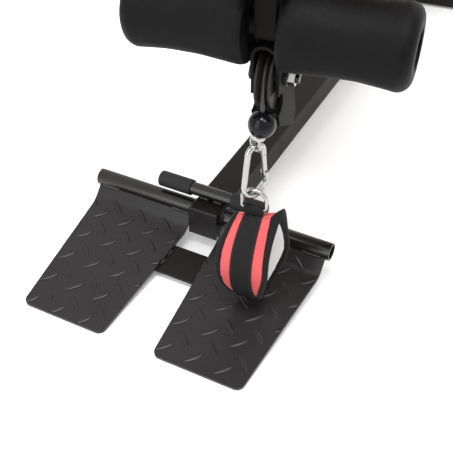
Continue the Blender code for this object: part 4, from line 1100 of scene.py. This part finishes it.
class ROMAN_OT_hook(bpy.types.Operator):
    """Builds the snap hook and its gate."""

    bl_idname = "roman.hook"
    bl_label = "Snap hook"

    def execute(self, context):
        place = Matrix.Translation(HOOK) @ Matrix.Rotation(HOOK_TURN, 4, "Z")
        top = Vector((0, -HOOK_TOP_BEND))
        low = Vector((0, -HOOK_SPAN + HOOK_LOW_BEND))
        lean = math.asin((HOOK_LOW_BEND - HOOK_TOP_BEND) / (top.y - low.y))
        side = Vector((math.cos(lean), math.sin(lean)))
        gate_low = low + HOOK_LOW_BEND * side
        gate_top = top + HOOK_TOP_BEND * side
        start = gate_low.lerp(gate_top, GATE_START)
        stop = gate_low.lerp(gate_top, GATE_STOP)
        along = (stop - start).normalized()
        round_low = arc(low, HOOK_LOW_BEND, lean, -math.pi - lean, 40)
        round_top = arc(top, HOOK_TOP_BEND, math.pi - lean, lean, 30)
        bm = bmesh.new()
        wire = [place @ Vector((x, 0, z)) for x, z in (start, *round_low, *round_top, stop)]
        sweep(bm, wire, HOOK_WIRE, sides=20)
        self.ears(bm, place, start, along)
        hook = piece("hook_body", bm, "hook", zinc_plate())
        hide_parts("snap_hook")
        self.gate(place, start, stop, along)
        return {"FINISHED"}

    def gate(self, place, start, stop, along):
        """The sprung bar that closes the hook, with softened ends."""
        bm = bmesh.new()
        first = start + along * GATE_FOOT_GAP
        length = (stop - start).length - GATE_FOOT_GAP - GATE_GAP
        tilt = math.atan2(along.x, along.y)
        turn = place @ Matrix.Translation((first.x, 0, first.y)) @ Matrix.Rotation(tilt, 4, "Y")
        soft = 0.0006
        profile = [(0, length), (GATE_RADIUS - soft, length), (GATE_RADIUS, length - soft),
                   (GATE_RADIUS, soft), (GATE_RADIUS - soft, 0), (0, 0)]
        lathe(bm, profile, turn, steps=24)
        gate = piece("gate_bar", bm, "gate", zinc_plate())
        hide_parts("hook_gate")

    def ears(self, bm, place, start, along):
        """Two flat cheeks that carry the gate's pin."""
        tilt = math.atan2(along.x, along.y)
        thick, half, below, above, soft = 0.0016, 0.003, 0.006, 0.0081, 0.0004
        centre = start + along * (above - below) / 2
        for way in (-1, 1):
            offset = way * (GATE_RADIUS + GATE_GAP + thick / 2)
            turn = place @ Matrix.Translation((centre.x, offset, centre.y)) @ Matrix.Rotation(tilt, 4, "Y")
            size = Matrix.Diagonal((2 * half, thick, above + below, 1))
            made = bmesh.ops.create_cube(bm, size=1, matrix=turn @ size)
            edges = list({edge for vert in made["verts"] for edge in vert.link_edges})
            bmesh.ops.bevel(bm, geom=edges, offset=soft, segments=2, affect="EDGES", profile=0.5)


def loop_place(share):
    """The strap's middle line, its outward way and its rise, at a share of the way round from the top."""
    tip = CUFF_TIP_RADIUS * (math.pi / 2 - LENS_TURN)
    side = 2 * LENS_RADIUS * LENS_TURN
    half = side + 2 * tip
    way = share % 1 * 2 * half
    rear = way <= half
    if not rear:
        way = 2 * half - way
    if way < tip:
        angle = math.pi / 2 - way / CUFF_TIP_RADIUS
        y, z, bend = 0, LENS_TIP, CUFF_TIP_RADIUS
    elif way < tip + side:
        angle = LENS_TURN - (way - tip) / LENS_RADIUS
        y, z, bend = -LENS_BACK, 0, LENS_RADIUS
    else:
        angle = -LENS_TURN - (way - tip - side) / CUFF_TIP_RADIUS
        y, z, bend = 0, -LENS_TIP, CUFF_TIP_RADIUS
    facing = 1 if rear else -1
    normal = Vector((0, facing * math.cos(angle), math.sin(angle)))
    place = Vector((0, facing * y, z)) + bend * normal
    return CUFF_CENTRE + place, normal, place.z / (CUFF_HEIGHT / 2)


def loop_point(share, across, out):
    """A point on the strap: the loop leans, and the corners of its top fold are drawn out of line."""
    place, normal, rise = loop_place(share)
    side = 1 if across > 0 else -1
    drawn = max(abs(across) - CUFF_FLAT, 0) / (CUFF_HALF_TOP - CUFF_FLAT)
    pull = CORNER_PULL[side] * drawn ** 2 * max(rise, 0) ** 4
    lean = CUFF_LEAN * (place.y - CUFF_CENTRE.y)
    return place + Vector((across + lean, 0, 0)) + normal * out + pull


def cuff_half(rise, side):
    """Half the strap's width on one side, at a share of its half height: -1 at the bottom, 1 at the top."""
    if rise > 0:
        return CUFF_HALF_MIDDLE + (CUFF_HALF_TOP - CUFF_HALF_MIDDLE) * rise ** 2
    return CUFF_HALF_MIDDLE + (CUFF_HALF_LOW[side] - CUFF_HALF_MIDDLE) * (-rise) ** CUFF_TAPER[side]


def webbing_half(rise):
    """Half the webbing's width, drawn in where it goes up to the ring."""
    return sizes().webbing_half - WEBBING_DRAWN * max(rise, 0) ** 3


class ROMAN_OT_strap(bpy.types.Operator):
    """Builds the ankle strap: cover, lining, bindings, webbing, stitching, tab and ring."""

    bl_idname = "roman.strap"
    bl_label = "Ankle strap"

    def execute(self, context):
        cover = self.cover()
        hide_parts("cuff_pad")
        self.lining()
        self.bindings()
        webbing = self.webbing()
        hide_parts("strap_webbing")
        self.stitches()
        self.tab()
        self.ring()
        return {"FINISHED"}

    def skin(self, name, section, slot, material, turns=CUFF_TURNS, sharp=50):
        """A closed band round the loop. section gives (across, outward) points from a share and a rise."""
        bm = bmesh.new()
        rings = []
        for k in range(turns):
            share = k / turns
            rise = loop_place(share)[2]
            rings.append([bm.verts.new(loop_point(share, *spot)) for spot in section(share, rise)])
        band(bm, rings, cyclic=True)
        bmesh.ops.recalc_face_normals(bm, faces=bm.faces)
        return piece(name, bm, "strap", material, sharp)

    def cover(self):
        """The satin outside, a little full between webbing and binding."""
        def section(share, rise):
            left = cuff_half(rise, -1) - CUFF_SEAM
            right = cuff_half(rise, 1) - CUFF_SEAM
            turn = 2 * math.pi * share
            y, z = math.cos(turn) * CREASE_ROUND, math.sin(turn) * CREASE_ROUND
            top = []
            for k in range(COVER_STEPS + 1):
                side = -1 + 2 * k / COVER_STEPS
                puff = COVER_PUFF * math.sin(math.pi * min(abs(side) / COVER_FULL, 1)) ** 2
                crease = COVER_CREASE * noise.noise(Vector((side * CREASE_ACROSS, y, z)))
                top.append((side * (right if side > 0 else left), COVER_TOP + puff + crease))
            return [(-left, COVER_LOW), *top, (right, COVER_LOW)]
        return self.skin("strap_cover", section, "cuff_cloth", strap_satin())

    def lining(self):
        """The soft inside, with slight folds."""
        def section(share, rise):
            left = cuff_half(rise, -1) - CUFF_SEAM
            right = cuff_half(rise, 1) - CUFF_SEAM
            turn = 2 * math.pi * share
            y, z = math.cos(turn) * FOLD_ROUND, math.sin(turn) * FOLD_ROUND
            low = []
            for k in range(LINING_STEPS + 1):
                fold = LINING_FOLD * noise.noise(Vector((k * FOLD_ACROSS, y, z)))
                low.append((right - (left + right) * k / LINING_STEPS, LINING_LOW - fold))
            return [(-left, 0.0), (right, 0.0), *low]
        self.skin("strap_lining", section, "cuff_cloth", strap_lining())

    def bindings(self):
        """Folded tape over both edges."""
        tape = sizes().binding
        for name, way in (("strap_binding_left", -1), ("strap_binding_right", 1)):
            def section(share, rise, way=way):
                middle = way * (cuff_half(rise, way) - tape * BINDING_INSET)
                ripple = 1 + BINDING_RIPPLE_DEPTH * math.sin(BINDING_RIPPLE_PITCH * share)
                return [(middle + way * tape * math.cos(a), BINDING_HALF_THICK * math.sin(a) * ripple)
                        for a in angles(BINDING_SIDES)]
            self.skin(name, section, "black_webbing", strap_black())

    def webbing(self):
        """Twilled webbing round the outside, thicker along its selvedges."""
        def section(share, rise):
            half = webbing_half(rise)
            top = []
            for j in range(WEBBING_COLUMNS + 1):
                side = 2 * j / WEBBING_COLUMNS - 1
                selvedge = WEBBING_SELVEDGE * (abs(side) > WEBBING_SELVEDGE_START)
                edge = WEBBING_EDGE * (abs(side) == 1)
                top.append((half * side, WEBBING_HIGH + selvedge - edge))
            return [(-half, WEBBING_LOW), *top, (half, WEBBING_LOW)]
        return self.skin("webbing_band", section, "black_webbing", strap_twill(), WEBBING_TURNS, sharp=70)

    def stitches(self):
        """Two rows of stitches along the webbing's edges."""
        bm = bmesh.new()
        for way in (-1, 1):
            for k in range(STITCH_COUNT):
                start = (k + STITCH_START) / STITCH_COUNT
                across = way * (webbing_half(loop_place(start)[2]) - STITCH_INSET)
                points = []
                for j in range(5):
                    lift = STITCH_HEIGHT + STITCH_ARCH * math.sin(math.pi * j / 4)
                    points.append(loop_point(start + STITCH_SHARE * j / 4 / STITCH_COUNT, across, lift))
                sweep(bm, points, STITCH_RADIUS, sides=6)
        piece("strap_stitches", bm, "strap", strap_thread(), sharp=60)

    def tab(self):
        """The webbing fold round the ring's bar: one layer round it, and two sewn together below it."""
        bm = bmesh.new()
        bar = RING.z - RING_HEIGHT
        inner = RING_WIRE + TAB_GAP
        outer = inner + TAB_THICK
        pinch = math.asin(TAB_THICK / outer)
        fold = arc((0, bar), outer, pinch - math.pi / 2, 1.5 * math.pi - pinch, 29)
        foot = WEBBING_TOP + TAB_GAP
        outline = [*fold, (-TAB_THICK, foot), (TAB_THICK, foot)]
        hole = arc((0, bar), inner, 0, 2 * math.pi * 23 / 24, 24)
        steps = 16
        rings = []
        for k in range(steps + 1):
            x = RING.x - TAB_HALF + 2 * TAB_HALF * k / steps
            rib = 1 + TAB_RIB * (k % 2)
            rings.append([bm.verts.new((x, RING.y + y * rib, z)) for y, z in outline])
        band(bm, rings)
        inside = []
        for x in (RING.x - TAB_HALF, RING.x + TAB_HALF):
            inside.append([bm.verts.new((x, RING.y + y, z)) for y, z in hole])
        band(bm, inside)
        for rim, gap in ((rings[0], inside[0]), (rings[-1], inside[1])):
            edges = [bm.edges.get(pair) for pair in zip(rim, rim[1:] + rim[:1])]
            edges += [bm.edges.get(pair) for pair in zip(gap, gap[1:] + gap[:1])]
            bmesh.ops.triangle_fill(bm, edges=edges, use_beauty=True)
        bmesh.ops.recalc_face_normals(bm, faces=bm.faces)
        tab = piece("ring_tab", bm, "strap", strap_twill(), sharp=60)
        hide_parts("strap_tab")

    def ring(self):
        """A D ring: a half-round top, straight legs, and a bar with rounded corners."""
        inset = RING_HALF - RING_CORNER
        low = RING_CORNER - RING_HEIGHT
        path = [*arc((0, -RING_HALF), RING_HALF, 0, math.pi, 49),
                *arc((-inset, low), RING_CORNER, math.pi, 1.5 * math.pi, 9),
                *arc((inset, low), RING_CORNER, 1.5 * math.pi, 2 * math.pi, 9)]
        bm = bmesh.new()
        sweep(bm, [RING + Vector((x, 0, z)) for x, z in path], RING_WIRE, sides=16, cyclic=True)
        ring = piece("strap_ring", bm, "strap", zinc_plate())
        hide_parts("d_ring")


def seat_outline(u, v):
    """How far a point of the unit square goes out to stand on the seat's rounded outline."""
    return (abs(u) ** SEAT_OUTLINE + abs(v) ** SEAT_OUTLINE) ** (1 / SEAT_OUTLINE)


def seat_half(v, full):
    """Half the seat, drawn in between its corners."""
    return full / 2 - SEAT_DRAW * (1 - v * v)


def seat_inside(u, v):
    """1 over most of the seat's top, and 0 along its edges."""
    return (1 - u ** 8) * (1 - v ** 8)


class ROMAN_OT_seat(bpy.types.Operator):
    """Builds the seat cushion, lets its cover swell as cloth, and adds its seams and piping."""

    bl_idname = "roman.seat"
    bl_label = "Seat cushion"

    def execute(self, context):
        size = sizes()
        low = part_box("seat_pad")[0][2]
        bm = bmesh.new()
        bmesh.ops.create_cube(bm, size=2)
        bmesh.ops.subdivide_edges(bm, edges=bm.edges, cuts=SEAT_CUTS, use_grid_fill=True)
        block = [vert.co.copy() for vert in bm.verts]
        for vert in bm.verts:
            vert.co = self.shape(vert.co.copy(), size, low)
        cushion = piece("seat_cushion", bm, "base", seat_vinyl(), sharp=80)
        self.swell(context, cushion, block)
        self.press_seams(cushion, block)
        soft = cushion.modifiers.new("soft", "SUBSURF")
        soft.levels = 1
        soft.render_levels = 1
        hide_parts("seat_pad")
        self.piping(size, low)
        return {"FINISHED"}

    def shape(self, co, size, low):
        """Rounds the block, crowns its top a little and draws its sides in."""
        u, v, w = co
        corner = seat_outline(u, v)
        pull = max(abs(u), abs(v)) / corner if corner else 1
        high = max(w, 0) ** 4
        x = u * pull * seat_half(v, size.seat_width) * (1 - SEAT_TAPER_ACROSS * high)
        y = v * pull * seat_half(u, size.seat_length) * (1 - SEAT_TAPER_ALONG * high)
        z = (w + 1) / 2 * (size.seat_thick - SEAT_SPARE)
        if w > 0:
            z += w * (SEAT_CROWN * (1 - u * u) * (1 - v * v) + SEAT_RISE * seat_inside(u, v))
        return Vector((x, SEAT_CENTRE + y, low + SEAT_LIFT + z))

    def swell(self, context, cushion, block):
        """Blows the cover up as cloth, held at its base and its upper seam, and caps each point's way."""
        held = cushion.vertex_groups.new(name="sewn")
        for index, spot in enumerate(block):
            rim = spot.z > SEAT_FACE and max(abs(spot.x), abs(spot.y)) > SEAT_FACE
            if rim or spot.z < -SEAT_FACE:
                held.add([index], 1, "REPLACE")
        cover = cushion.modifiers.new("cover", "CLOTH")
        cover.settings.vertex_group_mass = held.name
        cover.settings.use_pressure = True
        cover.settings.uniform_pressure_force = SEAT_PRESSURE
        cover.settings.effector_weights.gravity = 0
        for step in range(1, SEAT_FRAMES + 1):
            context.scene.frame_set(step)
        blown = cushion.evaluated_get(context.evaluated_depsgraph_get()).to_mesh()
        places = [vert.co.copy() for vert in blown.vertices]
        context.scene.frame_set(1)
        cushion.modifiers.remove(cover)
        cushion.vertex_groups.remove(held)
        for vert, place in zip(cushion.data.vertices, places):
            way = place - vert.co
            cap = SEAT_CAP_TOP if block[vert.index].z > SEAT_FACE else SEAT_CAP_SIDE
            vert.co += way * min(1, cap / max(way.length, 1e-9))

    def press_seams(self, cushion, block):
        """Presses two sewn seams across the top."""
        for vert in cushion.data.vertices:
            u, v, w = block[vert.index]
            if w > SEAT_FACE:
                for seam in SEAT_SEAMS:
                    press = SEAT_SEAM_DEPTH * math.exp(-((v - seam) / SEAT_SEAM_WIDTH) ** 2)
                    vert.co.z -= press * seat_inside(u, v)

    def piping(self, size, low):
        """Piping round the base and round the upper seam."""
        bm = bmesh.new()
        base = (PIPING_BASE, PIPING_BASE_INSET)
        upper = (size.seat_thick - PIPING_DROP, PIPING_UPPER_INSET)
        for height, inset in (base, upper):
            points = []
            for t in angles(PIPING_COUNT):
                u, v = math.cos(t), math.sin(t)
                big = max(abs(u), abs(v))
                u, v = u / big, v / big
                corner = seat_outline(u, v)
                x = u / corner * (seat_half(v, size.seat_width) - inset)
                y = v / corner * (seat_half(u, size.seat_length) - inset)
                points.append((x, SEAT_CENTRE + y, low + height))
            sweep(bm, points, PIPING_RADIUS, sides=8, cyclic=True)
        piece("seat_piping", bm, "base", seat_vinyl(), sharp=80)


class ROMAN_OT_stage(bpy.types.Operator):
    """Sets the floor, the light and the camera."""

    bl_idname = "roman.stage"
    bl_label = "Stage"

    def execute(self, context):
        self.floor(context)
        self.lights(context)
        camera = bpy.data.cameras.new("photo_camera")
        camera.sensor_width = CAMERA_SENSOR
        camera.lens = CAMERA_LENS
        camera.clip_start = CAMERA_NEAR
        viewer = bpy.data.objects.new("photo_camera", camera)
        viewer.location = CAMERA_PLACE
        viewer.rotation_euler = CAMERA_TURN
        context.scene.collection.objects.link(viewer)
        context.scene.camera = viewer
        return {"FINISHED"}

    def floor(self, context):
        """A pale floor that gives off a little light of its own."""
        bm = bmesh.new()
        bmesh.ops.create_grid(bm, x_segments=2, y_segments=2, size=FLOOR_HALF)
        mesh = bpy.data.meshes.new("studio_floor")
        bm.to_mesh(mesh)
        bm.free()
        pale = finish("studio_floor", colours().floor, 0.7, scale=300, bump=0.02, spread=0.01)
        shader = pale.node_tree.nodes["Principled BSDF"]
        shader.inputs["Emission Color"].default_value = WHITE
        shader.inputs["Emission Strength"].default_value = FLOOR_GLOW
        mesh.materials.append(pale)
        floor = bpy.data.objects.new("studio_floor", mesh)
        floor.location = (0, 0, FLOOR_DROP)
        context.scene.collection.objects.link(floor)

    def lights(self, context):
        """A pale room, a lamp beside the camera, three soft ones and two that show only in gloss."""
        context.scene.view_settings.view_transform = "Standard"
        world = bpy.data.worlds.new("studio")
        world.use_nodes = True
        sky = world.node_tree.nodes["Background"]
        sky.inputs["Color"].default_value = WHITE
        sky.inputs["Strength"].default_value = 1.0
        context.scene.world = world
        for name, place, energy, size in LAMPS:
            lamp = bpy.data.lights.new(name, "AREA")
            lamp.energy = energy
            lamp.size = size
            obj = bpy.data.objects.new(name, lamp)
            obj.location = place
            obj.rotation_euler = (LAMP_AIM - Vector(place)).to_track_quat("-Z", "Y").to_euler()
            obj.visible_diffuse = not name.startswith("glint")
            context.scene.collection.objects.link(obj)


class ROMAN_PT_panel(bpy.types.Panel):
    """Lists the steps that dress the chair."""

    bl_label = "Roman Chair"
    bl_idname = "ROMAN_PT_panel"
    bl_space_type = "VIEW_3D"
    bl_region_type = "UI"
    bl_category = "Roman Chair"

    def draw(self, context):
        for step in STEPS:
            self.layout.operator(step.bl_idname)
        for group in (colours(), sizes()):
            for name in group.__annotations__:
                self.layout.prop(group, name)


STEPS = (ROMAN_OT_frame, ROMAN_OT_tread, ROMAN_OT_welds, ROMAN_OT_rollers, ROMAN_OT_cable_end, ROMAN_OT_hook,
         ROMAN_OT_strap, ROMAN_OT_seat, ROMAN_OT_stage)
CLASSES = (ChairColours, ChairSizes, *STEPS, ROMAN_PT_panel)


def register():
    for item in CLASSES:
        bpy.utils.register_class(item)
    bpy.types.Scene.roman_chair_colours = bpy.props.PointerProperty(type=ChairColours)
    bpy.types.Scene.roman_chair_sizes = bpy.props.PointerProperty(type=ChairSizes)


def unregister():
    del bpy.types.Scene.roman_chair_sizes
    del bpy.types.Scene.roman_chair_colours
    for item in reversed(CLASSES):
        bpy.utils.unregister_class(item)


def main():
    register()
    bpy.ops.roman.frame()
    bpy.ops.roman.tread()
    bpy.ops.roman.welds()
    bpy.ops.roman.rollers()
    bpy.ops.roman.cable_end()
    bpy.ops.roman.hook()
    bpy.ops.roman.strap()
    bpy.ops.roman.seat()
    bpy.ops.roman.stage()


if __name__ == "__main__":
    main()
